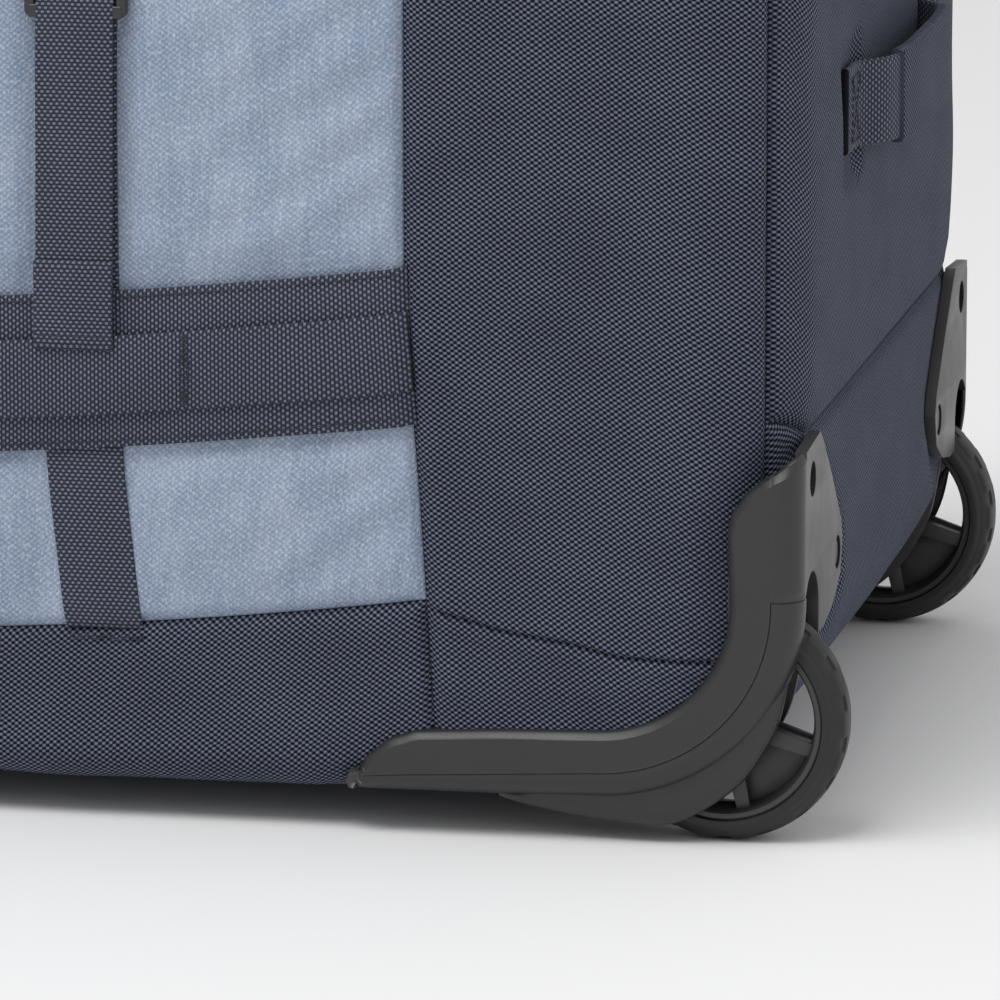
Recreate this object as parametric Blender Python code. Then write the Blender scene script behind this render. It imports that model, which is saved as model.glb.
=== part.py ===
"""Rolling duffel bag, lying on its two wheels and two feet.

Metres. +X runs along the bag towards the wheels, +Y is the bag's left side, +Z is up, and the ground is z = 0.
The side that faces -Y is the right side. Sizes that come in pairs are written for the left side and mirrored.
"""

import math

import bmesh
import bpy
from mathutils import Matrix, Vector

# Fabric body
BODY_X = 0.3635            # end faces
BODY_Y = 0.1765            # side faces
BODY_BOTTOM = 0.013
BODY_TOP = 0.335
WALL = 0.003
PLAN_RADIUS = 0.035        # upright corners, seen from above
WHEEL_END_RADIUS = 0.060   # bottom edge at the wheels, seen from the side
HANDLE_END_RADIUS = 0.015
TOP_END_RADIUS = 0.040
SIDE_TOP_RADIUS = 0.050
SIDE_BOTTOM_RADIUS = 0.012
GAP = 0.0003               # between pieces that touch

# Seams
SIDE_SEAM = [(0.2530, -0.010), (0.2455, 0.108), (0.2405, 0.170), (0.2405, 0.300)]
SMILE = 0.30               # horizontal seams and webbing dip at the middle of the bag: z = z0 + SMILE * x^2
BAND_SEAM_Z = 0.0575
TOP_SEAM_Z = 0.285
END_SEAM_Z = 0.127
WRAP_LOW_Z = {1: 0.0185, -1: 0.030}

# Stiff boards inside the base
BOARD_X = (-0.345, 0.285)
BASE_BOARD_Y, BASE_BOARD_Z = 0.138, (0.0163, 0.0193)
FLOOR_PANEL_Y, FLOOR_PANEL_Z = 0.165, (0.0385, 0.0415)

# Lid and its zip
LID_LOW_X, LID_HIGH_X = -0.315, 0.300
LID_Y = 0.128
LID_RADIUS = 0.040
CHAIN_WIDTH = 0.003
CHAIN_END_X = 0.294
SLIDER_Y = 0.0055
SLIDER_SIZE = (0.0105, 0.0090, 0.0042)
PULL_LENGTH, PULL_THICKNESS = 0.026, 0.0020
PULL_HALF_WIDTH = (0.0035, 0.0030)

# Webbing
WIDE, NARROW, WEB = 0.050, 0.025, 0.0013
WIDE_Z, NARROW_Z = 0.1400, 0.1385
STRAP_X = 0.1375
STRAP_LOW_Z, STRAP_TOP_Z = 0.0645, 0.2635
TAIL_Z, HEM_Z = 0.1540, 0.1800
LOCK_HALF_WIDTH, LOCK_RAIL = 0.0163, 0.0030
LOCK_LOW_Z, LOCK_HIGH_Z = 0.2585, 0.2785
LOCK_Y = (0.1785, 0.1815)
LOOP_LOW_Z = 0.2708
TAIL_Y = 0.1820            # where the strap's tail hangs, outside everything it crosses
SIDE_HANDLE_X, SIDE_HANDLE_LOW_Z, SIDE_HANDLE_PIVOT = 0.100, 0.186, (0.1805, 0.268)
END_HANDLE_Y, END_HANDLE_Z, END_HANDLE_REACH = 0.085, (0.206, 0.234), 0.0155

# Wheels and their corner mouldings
WHEEL = (0.341, 0.159, 0.039)
TYRE_RADIUS, TYRE_HALF_WIDTH = 0.039, 0.0102
RIM_OUTER, RIM_INNER, RIM_HALF_WIDTH = 0.0315, 0.0290, 0.0090
HUB_RADIUS, BORE_RADIUS = 0.0130, 0.0091
AXLE_RADIUS, BEARING_RADIUS = 0.0040, 0.0088
SPOKES = 6
SPOKE_ANGLE = math.radians(-17.5)
WELL_RADIUS = 0.0475       # outside of the roof over the wheel
CORNER = (0.3025, 0.0788)  # centre of the corner's arcs, seen from the side
GUARD_INNER, GUARD_PARTING, GUARD_OUTER = 0.042, 0.0555, 0.065
FLANGE_X = 0.3675
FLANGE_THICKNESS = 0.0037
FLANGE_HOLES = (((0.1580, 0.1160), 0.0056), ((0.1085, 0.0822), 0.0054))
GUARD_Y = 0.180
GUARD_THICKNESS = 0.0032
CHEEKS = ((0.1435, 0.1465), (0.1705, 0.1732))
ROLL_Y = (0.1705, 0.1797)

AXLE_HEAD_RADIUS, AXLE_HEAD_LENGTH = 0.0055, 0.0028
SPOKE_HALF = (0.0055, 0.0017)   # across the wheel, round the wheel
WEB_HALF = 0.0012          # the disc between the ribs
WINDOW_MARGIN = 7          # degrees left beside each rib

# Telescoping handle
TUBE_Y, TUBE_Z = 0.075, 0.0310
OUTER_TUBE, INNER_TUBE = (0.0200, 0.0140), (0.0164, 0.0104)
TUBE_WALL = 0.0012
OUTER_TUBE_X = (-0.3585, 0.2620)
INNER_TUBE_X = (-0.3665, 0.2400)
BEZEL_X = (-0.3665, -0.3638)
GRIP_X = (-0.3775, -0.3668)
BUTTON_X = (-0.3800, -0.3725)
BUTTON_POCKET_X = -0.3690
BUTTON_Y, BUTTON_Z = 0.0130, (0.0268, 0.0352)
GRIP_Y, GRIP_Z = 0.094, (0.0200, 0.0420)
BEZEL_Y, BEZEL_Z = 0.105, (0.0165, 0.0620)

# Feet
FOOT_X, FOOT_Y, FOOT_RADIUS = (-0.337, -0.293), (0.108, 0.152), 0.008
FOOT_BEVEL = 0.002

SIDES = {"left": 1, "right": -1}
ENDS = {"front": 1, "rear": -1}

LIGHT_FABRIC = (0.30, 0.37, 0.49)
DARK_FABRIC = (0.057, 0.064, 0.088)
WEBBING = (0.052, 0.060, 0.084)
BLACK_PLASTIC = (0.052, 0.052, 0.052)


def material(name, colour, roughness, metallic=0.0):
    found = bpy.data.materials.get(name)
    if found:
        return found
    made = bpy.data.materials.new(name)
    made.use_nodes = True
    shader = made.node_tree.nodes["Principled BSDF"]
    shader.inputs["Base Color"].default_value = (*colour, 1.0)
    shader.inputs["Roughness"].default_value = roughness
    shader.inputs["Metallic"].default_value = metallic
    return made


def light_fabric():
    return material("heather_fabric", LIGHT_FABRIC, 0.9)


def dark_fabric():
    return material("navy_fabric", DARK_FABRIC, 0.85)


def webbing():
    return material("navy_webbing", WEBBING, 0.8)


def black_plastic():
    return material("black_plastic", BLACK_PLASTIC, 0.5)


def tyre_rubber():
    return material("tyre_rubber", (0.035, 0.035, 0.035), 0.7)


def board_plastic():
    return material("board_plastic", (0.10, 0.10, 0.11), 0.6)


def tube_metal():
    return material("tube_metal", (0.30, 0.31, 0.33), 0.35, 1.0)


def steel():
    return material("steel", (0.55, 0.55, 0.57), 0.3, 1.0)


def zip_plastic():
    return material("zip_plastic", (0.04, 0.04, 0.05), 0.5)


def new_object(name, mesh_builder, finish=None):
    """An object whose mesh is what mesh_builder holds, with its faces turned outwards."""
    bmesh.ops.recalc_face_normals(mesh_builder, faces=mesh_builder.faces)
    mesh = bpy.data.meshes.new(name)
    mesh_builder.to_mesh(mesh)
    mesh_builder.free()
    made = bpy.data.objects.new(name, mesh)
    bpy.context.scene.collection.objects.link(made)
    if finish:
        mesh.materials.append(finish)
    return made


def rounded(corners, step=15):
    """Outline from (a, b, radius) corners: each radius becomes an arc with a point every step degrees."""
    points = []
    count = len(corners)
    for i, (a, b, radius) in enumerate(corners):
        corner = Vector((a, b))
        before = (Vector(corners[i - 1][:2]) - corner).normalized()
        after = (Vector(corners[(i + 1) % count][:2]) - corner).normalized()
        half = before.angle(after) / 2
        if radius <= 0 or half > math.radians(89):
            points.append(corner)
            continue
        centre = corner + (before + after).normalized() * (radius / math.sin(half))
        start = corner + before * (radius / math.tan(half)) - centre
        sweep = math.pi - 2 * half
        turn = 1 if start.x * (after.y - before.y) - start.y * (after.x - before.x) > 0 else -1
        steps = max(1, round(math.degrees(sweep) / step))
        for k in range(steps + 1):
            angle = turn * sweep * k / steps
            points.append(centre + Matrix.Rotation(angle, 2) @ start)
    return [tuple(p) for p in points]


def arc(centre, radius, start, end, step=12):
    """Points on a circle from start to end degrees, both included."""
    steps = max(1, round(abs(end - start) / step))
    angles = [math.radians(start + (end - start) * k / steps) for k in range(steps + 1)]
    return [(centre[0] + radius * math.cos(t), centre[1] + radius * math.sin(t)) for t in angles]


def rectangle(low, high, radius=0.0, step=30):
    (a0, b0), (a1, b1) = low, high
    return rounded([(a0, b0, radius), (a1, b0, radius), (a1, b1, radius), (a0, b1, radius)], step)


def prism(outline, axis, low, high, name="prism", finish=None):
    """Closed solid: an outline in the plane across axis, from low to high along it.

    The outline's pairs are (y, z) for axis X, (x, z) for axis Y and (x, y) for axis Z."""
    place = {
        "X": lambda a, b, c: (c, a, b),
        "Y": lambda a, b, c: (a, c, b),
        "Z": lambda a, b, c: (a, b, c),
    }[axis]
    builder = bmesh.new()
    ends = [[builder.verts.new(place(a, b, c)) for a, b in outline] for c in (low, high)]
    for ring in ends:
        builder.faces.new(ring)
    count = len(outline)
    for i in range(count):
        j = (i + 1) % count
        builder.faces.new((ends[0][i], ends[0][j], ends[1][j], ends[1][i]))
    return new_object(name, builder, finish)


def side_prism(outline, side, low, high, name="prism", finish=None):
    """A prism along Y between two distances from the middle, on one side of the bag."""
    near, far = sorted((side * low, side * high))
    return prism(outline, "Y", near, far, name, finish)


def turned(stations, centre, side, segments, name, finish, ring=False):
    """A turned piece about the wheel's axis. Stations are (distance from the middle of the bag, radius).

    With ring set the stations are a closed profile; otherwise the two ends are capped."""
    builder = bmesh.new()
    rings = []
    for distance, radius in stations:
        circle = []
        for k in range(segments):
            angle = 2 * math.pi * k / segments
            x = centre[0] + radius * math.cos(angle)
            z = centre[2] + radius * math.sin(angle)
            circle.append(builder.verts.new((x, side * distance, z)))
        rings.append(circle)
    pairs = list(zip(rings, rings[1:] + rings[:1])) if ring else list(zip(rings, rings[1:]))
    for one, two in pairs:
        for k in range(segments):
            m = (k + 1) % segments
            builder.faces.new((one[k], one[m], two[m], two[k]))
    if not ring:
        builder.faces.new(rings[0])
        builder.faces.new(rings[-1])
    return smooth(new_object(name, builder, finish))


def smooth(target):
    target.data.shade_smooth()
    target.data.set_sharp_from_angle(angle=math.radians(35))
    return target


def combine(target, tool, operation):
    """Applies a Boolean of tool to target and removes tool."""
    modifier = target.modifiers.new("combine", "BOOLEAN")
    modifier.operation = operation
    modifier.solver = "EXACT"
    modifier.object = tool
    bpy.context.view_layer.update()
    graph = bpy.context.evaluated_depsgraph_get()
    mesh = bpy.data.meshes.new_from_object(target.evaluated_get(graph))
    target.modifiers.remove(modifier)
    target.data = mesh
    bpy.data.objects.remove(tool)
    return target


def cut(target, *tools):
    for tool in tools:
        combine(target, tool, "DIFFERENCE")
    return target


def join(target, *tools):
    for tool in tools:
        combine(target, tool, "UNION")
    return target


def keep_inside(target, tool):
    return combine(target, tool, "INTERSECT")


def set_origin(target, point):
    """Moves an object's origin to a point on its joint's axis, leaving its shape where it is."""
    target.data.transform(Matrix.Translation(-Vector(point)))
    target.location = point
    return target


def named(target, name, finish):
    target.name = name
    target.data.name = name
    target.data.materials.clear()
    target.data.materials.append(finish)
    return target


def smile(z0, x):
    return z0 + SMILE * x * x


def side_seam_x(z):
    """How far from the middle the upright seam of the side panel runs at height z."""
    for (x0, z0), (x1, z1) in zip(SIDE_SEAM, SIDE_SEAM[1:]):
        if z <= z1:
            return x0 + (x1 - x0) * (z - z0) / (z1 - z0)
    return SIDE_SEAM[-1][0]


# ---------------------------------------------------------------- fabric body

def body_solid(inset):
    """The bag's outer form less inset all round: three outlines that cross each other."""
    x, y = BODY_X - inset, BODY_Y - inset
    low, high = BODY_BOTTOM + inset, BODY_TOP - inset
    seen_from_side = rounded([
        (-x, low, HANDLE_END_RADIUS - inset), (x, low, WHEEL_END_RADIUS - inset),
        (x, high, TOP_END_RADIUS - inset), (-x, high, TOP_END_RADIUS - inset),
    ])
    seen_from_end = rounded([
        (-y, low, SIDE_BOTTOM_RADIUS - inset), (y, low, SIDE_BOTTOM_RADIUS - inset),
        (y, high, SIDE_TOP_RADIUS - inset), (-y, high, SIDE_TOP_RADIUS - inset),
    ], 22.5)
    seen_from_above = rectangle((-x, -y), (x, y), PLAN_RADIUS - inset, 22.5)
    solid = prism(seen_from_side, "Y", -0.3, 0.3)
    keep_inside(solid, prism(seen_from_end, "X", -0.5, 0.5))
    return keep_inside(solid, prism(seen_from_above, "Z", -0.2, 0.6))


def fabric_shell():
    """The whole fabric body as one thin shell, open where the lid, wheels and handle tubes are."""
    shell = cut(body_solid(0.0), body_solid(WALL))
    cut(shell, prism(lid_outline(0.0), "Z", 0.300, 0.400))
    for side in SIDES.values():
        cut(shell, wheel_well_cutter(side), rolled_edge_cutter(side), tube_hole(side, -0.400, -0.350))
    return shell


def lid_outline(inset):
    low, high = LID_LOW_X + inset, LID_HIGH_X - inset
    y = LID_Y - inset
    radius = LID_RADIUS - inset
    return rounded([(low, -y, radius), (high, -y, 0), (high, y, 0), (low, y, radius)], 22.5)


def wheel_well_cutter(side):
    radius = WELL_RADIUS + 2 * GAP
    x, _, z = WHEEL
    toe = (0.2680, 0.0168)
    outline = [(toe[0], -0.02), (0.42, -0.02), (0.42, z)] + arc((x, z), radius, 0, 180, 6)[1:]
    outline += [(x - radius, toe[1]), toe]
    return side_prism(outline, side, CHEEKS[0][0] - GAP, CHEEKS[1][1] + GAP)


def rolled_edge_cutter(side):
    """Clears the fabric from everything outside the corner moulding's parting line."""
    radius = GUARD_PARTING - 2 * GAP
    inner = [(0.2230, 0.0164), (0.2350, 0.0198)] + arc(CORNER, radius, -90, 0, 9) + [(CORNER[0] + radius, 0.0808)]
    return side_prism(inner + [(0.42, 0.0808), (0.42, -0.02), (0.2230, -0.02)], side, ROLL_Y[0] - GAP, 0.25)


def tube_hole(side, low, high):
    half = (0.5 * INNER_TUBE[0] + 0.0006, 0.5 * INNER_TUBE[1] + 0.0006)
    centre = (side * TUBE_Y, TUBE_Z)
    outline = rectangle((centre[0] - half[0], centre[1] - half[1]), (centre[0] + half[0], centre[1] + half[1]))
    return prism(outline, "X", low, high)


def panel(shell, name, finish, *regions):
    """A copy of the shell's cloth that lies inside every region."""
    piece = bpy.data.objects.new(name, shell.data.copy())
    bpy.context.scene.collection.objects.link(piece)
    for region in regions:
        keep_inside(piece, region)
    return named(piece, name, finish)


def band_points(z0, half_length, count=8):
    """The dipping seam from one end of the side panel to the other."""
    xs = [-half_length + 2 * half_length * k / count for k in range(count + 1)]
    return [(x, smile(z0, x)) for x in xs]


def base_tub(shell):
    top = smile(BAND_SEAM_Z, 0.247)
    half = side_seam_x(top) - GAP / 2
    outline = [(-SIDE_SEAM[0][0] + GAP / 2, -0.01)] + band_points(BAND_SEAM_Z, half)
    outline += [(SIDE_SEAM[0][0] - GAP / 2, -0.01)]
    return panel(shell, "base_tub", dark_fabric(), prism(outline, "Y", -0.3, 0.3))


def side_panels(shell):
    for word, side in SIDES.items():
        bottom = smile(BAND_SEAM_Z, 0.247)
        half = side_seam_x(bottom) - GAP / 2
        seam = [(x - GAP / 2, z) for x, z in SIDE_SEAM if bottom < z < TOP_SEAM_Z]
        outline = band_points(BAND_SEAM_Z + GAP, half) + seam
        outline += [(SIDE_SEAM[-1][0] - GAP / 2, TOP_SEAM_Z - GAP)]
        outline += [(-SIDE_SEAM[-1][0] + GAP / 2, TOP_SEAM_Z - GAP)] + [(-x, z) for x, z in reversed(seam)]
        panel(shell, f"side_panel_{word}", light_fabric(), side_prism(outline, side, 0.12, 0.30))


def corner_region(end, side, bottom, top, shift):
    """The plan area of one end of one side wall, up to the diagonal of the upright corner."""
    arc_x, arc_y = BODY_X - PLAN_RADIUS - shift, BODY_Y - PLAN_RADIUS
    reach = -0.008         # just inside the cloth, so the region holds nothing but the wall
    outline = [(0.15, 0.30), (arc_x + 0.30 - arc_y, 0.30), (arc_x - reach, arc_y - reach), (0.15, arc_y - reach)]
    return prism([(end * x, side * y) for x, y in outline], "Z", bottom, top)


def beyond_side_seam(end, shift):
    """Everything past the upright seam of the side panels, towards one end."""
    seam = [(end * (x + shift), z) for x, z in SIDE_SEAM]
    return prism(seam + [(end * 0.45, 0.30), (end * 0.45, -0.01)], "Y", -0.3, 0.3)


def wrap_region(end, side, grow):
    """The navy cloth beside an end: under the top seam and up to the upright corner seam."""
    return corner_region(end, side, WRAP_LOW_Z[end] - grow, TOP_SEAM_Z - GAP + 2 * grow, -grow)


def end_wraps(shell):
    for end_word, end in (("wheel_end", 1), ("handle_end", -1)):
        for side_word, side in SIDES.items():
            name = f"{end_word}_wrap_{side_word}"
            panel(shell, name, dark_fabric(), wrap_region(end, side, 0.0), beyond_side_seam(end, GAP / 2))


def end_panels(shell):
    """What is left of the cloth at each end, under the top seam. The wheel end has a seam across it."""
    upper_top = TOP_SEAM_Z - GAP
    upper = panel(shell, "wheel_end_panel_upper", dark_fabric(),
                  prism(rectangle((0.30, -0.3), (0.45, 0.3)), "Z", END_SEAM_Z + GAP, upper_top))
    lower = panel(shell, "wheel_end_panel_lower", dark_fabric(),
                  prism(rectangle((0.20, -0.3), (0.45, 0.3)), "Z", 0.0, upper_top), beyond_side_seam(1, GAP / 2))
    handle = panel(shell, "handle_end_panel", dark_fabric(),
                   prism(rectangle((-0.45, -0.3), (-0.20, 0.3)), "Z", 0.0, upper_top),
                   beyond_side_seam(-1, GAP / 2))
    for side in SIDES.values():
        for piece, end in ((upper, 1), (lower, 1), (handle, -1)):
            cut(piece, wrap_region(end, side, GAP))
    cut(lower, prism(rectangle((0.30, -0.3), (0.45, 0.3)), "Z", END_SEAM_Z, 0.50))


def top_frame(shell):
    panel(shell, "top_frame", dark_fabric(), prism(rectangle((-0.45, -0.3), (0.45, 0.3)), "Z", TOP_SEAM_Z, 0.50))


def lid():
    inset = CHAIN_WIDTH + 2 * GAP
    piece = prism(lid_outline(inset), "Z", BODY_TOP - WALL, BODY_TOP, "lid", light_fabric())
    cut(piece, prism(rectangle((LID_HIGH_X - GAP, -0.3), (0.45, 0.3)), "Z", 0.30, 0.40))
    return set_origin(named(piece, "lid", light_fabric()), (LID_HIGH_X, 0, BODY_TOP))


def inner_boards():
    for name, y, heights, radius, finish in (
        ("base_board", BASE_BOARD_Y, BASE_BOARD_Z, 0.010, board_plastic()),
        ("floor_panel", FLOOR_PANEL_Y, FLOOR_PANEL_Z, 0.030, dark_fabric()),
    ):
        prism(rectangle((BOARD_X[0], -y), (BOARD_X[1], y), radius), "Z", *heights, name, finish)


# ---------------------------------------------------------------- zip

def zip_parts():
    chain = prism(lid_outline(GAP), "Z", BODY_TOP - WALL, BODY_TOP - GAP, "zip_chain", zip_plastic())
    cut(chain, prism(lid_outline(GAP + CHAIN_WIDTH), "Z", 0.30, 0.40))
    keep_inside(chain, prism(rectangle((-0.40, -0.3), (CHAIN_END_X, 0.3)), "Z", 0.30, 0.40))
    named(chain, "zip_chain", zip_plastic())
    length, width, height = SLIDER_SIZE
    back = LID_LOW_X + CHAIN_WIDTH
    base = BODY_TOP + GAP
    for word, side in SIDES.items():
        y = side * SLIDER_Y
        outline = rectangle((y - width / 2, base), (y + width / 2, base + height), 0.0012)
        slider = prism(outline, "X", back - length, back, f"zip_slider_{word}", zip_plastic())
        set_origin(slider, (back - length / 2, y, base))
        pivot = (back - length - GAP - PULL_THICKNESS / 2, y, base + height / 2)
        near, far = PULL_HALF_WIDTH
        plan = rounded([
            (pivot[0], y - near, 0.001), (pivot[0] - PULL_LENGTH, y - far, 0.0025),
            (pivot[0] - PULL_LENGTH, y + far, 0.0025), (pivot[0], y + near, 0.001),
        ], 30)
        half = PULL_THICKNESS / 2
        pull = prism(plan, "Z", pivot[2] - half, pivot[2] + half, f"zip_pull_{word}", webbing())
        set_origin(pull, pivot)


# ---------------------------------------------------------------- webbing and its hardware

def webbing_lane(z0, width, low_y, name, side):
    half = SIDE_SEAM[2][0] - 0.0008
    lower = band_points(z0 - width / 2, half, 12)
    upper = [(x, z + width) for x, z in reversed(lower)]
    side_prism(lower + upper, side, low_y, low_y + WEB, name, webbing())


def side_webbing():
    first = BODY_Y + GAP + WEB + GAP
    for word, side in SIDES.items():
        webbing_lane(WIDE_Z, WIDE, first, f"daisy_webbing_{word}", side)
        webbing_lane(NARROW_Z, NARROW, first + WEB + GAP, f"daisy_loops_{word}", side)


def compression_strap(side, x, name):
    """One length of webbing: up from the band seam, through the ladder lock, and its hemmed tail down again."""
    back = BODY_Y + GAP
    front = TAIL_Y
    hem = front + 2 * WEB
    outline = [
        (back, STRAP_LOW_Z), (back, STRAP_TOP_Z), (0.1790, STRAP_TOP_Z + 0.0030), (0.1810, STRAP_TOP_Z + 0.0030),
        (front + WEB, STRAP_TOP_Z), (front + WEB, HEM_Z + 0.0005), (hem, HEM_Z), (hem, TAIL_Z), (front, TAIL_Z),
        (front, STRAP_TOP_Z - 0.0005), (0.1805, STRAP_TOP_Z + 0.0017), (0.1795, STRAP_TOP_Z + 0.0017),
        (back + WEB, STRAP_TOP_Z - 0.0005), (back + WEB, STRAP_LOW_Z),
    ]
    outline = [(side * y, z) for y, z in outline]
    prism(outline, "X", x - NARROW / 2, x + NARROW / 2, name, webbing())


def ladder_lock(side, x, name):
    half = LOCK_HALF_WIDTH
    frame = rectangle((x - half, LOCK_LOW_Z), (x + half, LOCK_HIGH_Z), 0.003)
    window = rectangle((x - half + LOCK_RAIL, LOCK_LOW_Z + 0.0040), (x + half - LOCK_RAIL, LOCK_HIGH_Z - 0.0040))
    piece = side_prism(frame, side, *LOCK_Y)
    cut(piece, side_prism(window, side, 0.17, 0.19))
    named(piece, name, black_plastic())


def buckle_loop(side, x, name):
    """The short loop sewn into the top seam that holds the ladder lock's upper bar."""
    low, high = LOOP_LOW_Z, TOP_SEAM_Z - GAP
    outer = [(side * y, z) for y, z in rectangle((BODY_Y + GAP, low), (0.1832, high), 0.0015, 45)]
    inner = [(side * y, z) for y, z in rectangle((0.1781, low + 0.0014), (0.1819, 0.2800))]
    piece = prism(outer, "X", x - NARROW / 2, x + NARROW / 2)
    cut(piece, prism(inner, "X", x - NARROW, x + NARROW))
    named(piece, name, webbing())


def compression_straps():
    for side_word, side in SIDES.items():
        for end_word, end in ENDS.items():
            label = f"{side_word}_{end_word}"
            compression_strap(side, end * STRAP_X, f"compression_strap_{label}")
            ladder_lock(side, end * STRAP_X, f"ladder_lock_{label}")
            buckle_loop(side, end * STRAP_X, f"buckle_loop_{label}")


def side_handles():
    y, z = SIDE_HANDLE_PIVOT
    x, low = SIDE_HANDLE_X, SIDE_HANDLE_LOW_Z
    top = z + 0.0020
    outer = rounded([(-x, top, 0), (-x, low, 0.035), (x, low, 0.035), (x, top, 0)], 22.5)
    inner_x, inner_low = x - NARROW, low + NARROW
    inner = rounded([(inner_x, top, 0), (inner_x, inner_low, 0.012), (-inner_x, inner_low, 0.012), (-inner_x, top, 0)],
                    30)
    for word, side in SIDES.items():
        piece = side_prism(outer + inner, side, y - 0.0020, y + 0.0020, f"side_handle_{word}", webbing())
        set_origin(piece, (0, side * y, z))


def end_handles():
    """A grab loop of webbing on each end, sewn flat at its two ends and standing off in between."""
    base = BODY_X + GAP
    far = base + END_HANDLE_REACH
    thick = 0.0024
    y = END_HANDLE_Y
    outer = [(base, y), (base + thick, y), (base + thick, y - 0.018), (far, 0.048), (far, -0.048),
             (base + thick, 0.018 - y), (base + thick, -y), (base, -y)]
    inner = [(base, 0.016 - y), (far - thick, -0.046), (far - thick, 0.046), (base, y - 0.016)]
    for word, end in (("wheel_end", 1), ("handle_end", -1)):
        outline = [(end * a, b) for a, b in outer + inner]
        prism(outline, "Z", END_HANDLE_Z[0], END_HANDLE_Z[1], f"{word}_grab_handle", webbing())


# ---------------------------------------------------------------- wheels and corner mouldings

def cheek_outline():
    """Seen from the side: the wall beside the wheel, with its lobe below the bag."""
    x, z = WHEEL[0], WHEEL[2]
    right = 0.3630
    start = math.degrees(math.acos((right - x) / WELL_RADIUS))
    lobe = [(0.2900, 0.0165), (0.2700, 0.0140), (0.2825, 0.0100), (0.3045, 0.0070), (0.3235, 0.0060),
            (0.3365, 0.0120), (0.3475, 0.0210), (0.3545, 0.0310), (0.3595, 0.0420), (right, 0.0600)]
    return lobe + arc((x, z), WELL_RADIUS, start, 180)


def roof_outline():
    """Seen from the side: the arched roof over the wheel and the wall behind it."""
    x, z = WHEEL[0], WHEEL[2]
    inner = WELL_RADIUS - 0.0030
    ends = [math.degrees(math.acos((0.3630 - x) / radius)) for radius in (WELL_RADIUS, inner)]
    outside = arc((x, z), WELL_RADIUS, ends[0], 180) + [(x - WELL_RADIUS, 0.0165)]
    return outside + [(x - inner, 0.0165)] + arc((x, z), inner, 180, ends[1])


def rolled_edge_outline():
    """Seen from the side: the thick outer edge of the moulding, outside the parting line."""
    outer = [(0.2240, 0.0158), (0.2265, 0.0138)] + arc(CORNER, GUARD_OUTER, -90, 0, 9) + [(FLANGE_X, 0.0802)]
    inner = [(CORNER[0] + GUARD_PARTING, 0.0802)] + arc(CORNER, GUARD_PARTING, 0, -90, 9) + [(0.2350, 0.0190)]
    return outer + inner


def guard_outline():
    """Seen from the side: the flat L of the corner guard, inside the parting line."""
    parting = GUARD_PARTING
    lower = [(0.2232, 0.0164), (0.2350, 0.0193)] + arc(CORNER, parting - GAP, -90, 0, 9)
    notch = [(0.3570, 0.0805), (FLANGE_X, 0.0805), (FLANGE_X, 0.1240), (0.3605, 0.1225), (0.3550, 0.1190),
             (0.3490, 0.1140), (0.3450, 0.1080), (0.3437, 0.1020)]
    upper = arc(CORNER, GUARD_INNER, 0, -90, 9) + [(0.2715, 0.0358), (0.2445, 0.0342), (0.2355, 0.0310),
                                                  (0.2285, 0.0250)]
    return lower + notch + upper


def flange_outline():
    """Seen from the end: the face that wraps round the wheel end, with the arch over the wheel."""
    y = WHEEL[1]
    arch = [(y + 0.0135 * math.cos(math.radians(t)), 0.0730 + 0.0135 * math.sin(math.radians(t)))
            for t in (35, 60, 90, 120, 150, 180)]
    rim = [(GUARD_Y, 0.0808), (GUARD_Y, 0.1230), (0.1745, 0.1262), (0.1440, 0.1285), (0.1385, 0.1250),
           (0.1210, 0.1100), (0.1020, 0.0920), (0.0990, 0.0850), (0.1030, 0.0740), (0.1180, 0.0670),
           (0.1340, 0.0640), (y - 0.0135, 0.0640)]
    return rim + list(reversed(arch))


def screw_holes(side):
    for centre, radius in FLANGE_HOLES:
        outline = arc((side * centre[0], centre[1]), radius, 0, 330, 30)
        yield prism(outline, "X", 0.35, 0.38)


def axle_hole(side, radius):
    return side_prism(arc((WHEEL[0], WHEEL[2]), radius, 0, 345, 15), side, 0.13, 0.18)


def corner_moulding(side, word):
    housing = side_prism(rolled_edge_outline(), side, *ROLL_Y)
    walls = [side_prism(cheek_outline(), side, *cheek) for cheek in CHEEKS]
    roof = side_prism(roof_outline(), side, CHEEKS[0][0], CHEEKS[1][1])
    join(housing, walls[1], roof, walls[0])
    cut(housing, axle_hole(side, AXLE_RADIUS + GAP))
    named(housing, f"wheel_housing_{word}", black_plastic())

    guard = side_prism(guard_outline(), side, GUARD_Y - GUARD_THICKNESS, GUARD_Y)
    flange = [(side * y, z) for y, z in flange_outline()]
    join(guard, prism(flange, "X", FLANGE_X - FLANGE_THICKNESS, FLANGE_X))
    cut(guard, *screw_holes(side))
    named(guard, f"corner_guard_{word}", black_plastic())


def spoke(side, angle):
    """One radial rib of the wheel."""
    along = Vector((math.cos(angle), math.sin(angle)))
    across = Vector((-along.y, along.x)) * SPOKE_HALF[1]
    centre = Vector((WHEEL[0], WHEEL[2]))
    near, far = centre + along * (HUB_RADIUS - 0.001), centre + along * (RIM_INNER + 0.001)
    outline = [tuple(near - across), tuple(far - across), tuple(far + across), tuple(near + across)]
    return side_prism(outline, side, WHEEL[1] - SPOKE_HALF[0], WHEEL[1] + SPOKE_HALF[0])


def window(side, angle):
    """The open space between two spokes."""
    centre = (WHEEL[0], WHEEL[2])
    start = math.degrees(angle) + WINDOW_MARGIN
    end = math.degrees(angle) + 360 / SPOKES - WINDOW_MARGIN
    outer = arc(centre, RIM_INNER - 0.0012, start - 3, end + 3, 13)
    inner = arc(centre, HUB_RADIUS + 0.0022, end - 3, start + 3, 16)
    return side_prism(outer + inner, side, 0.14, 0.18)


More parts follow.
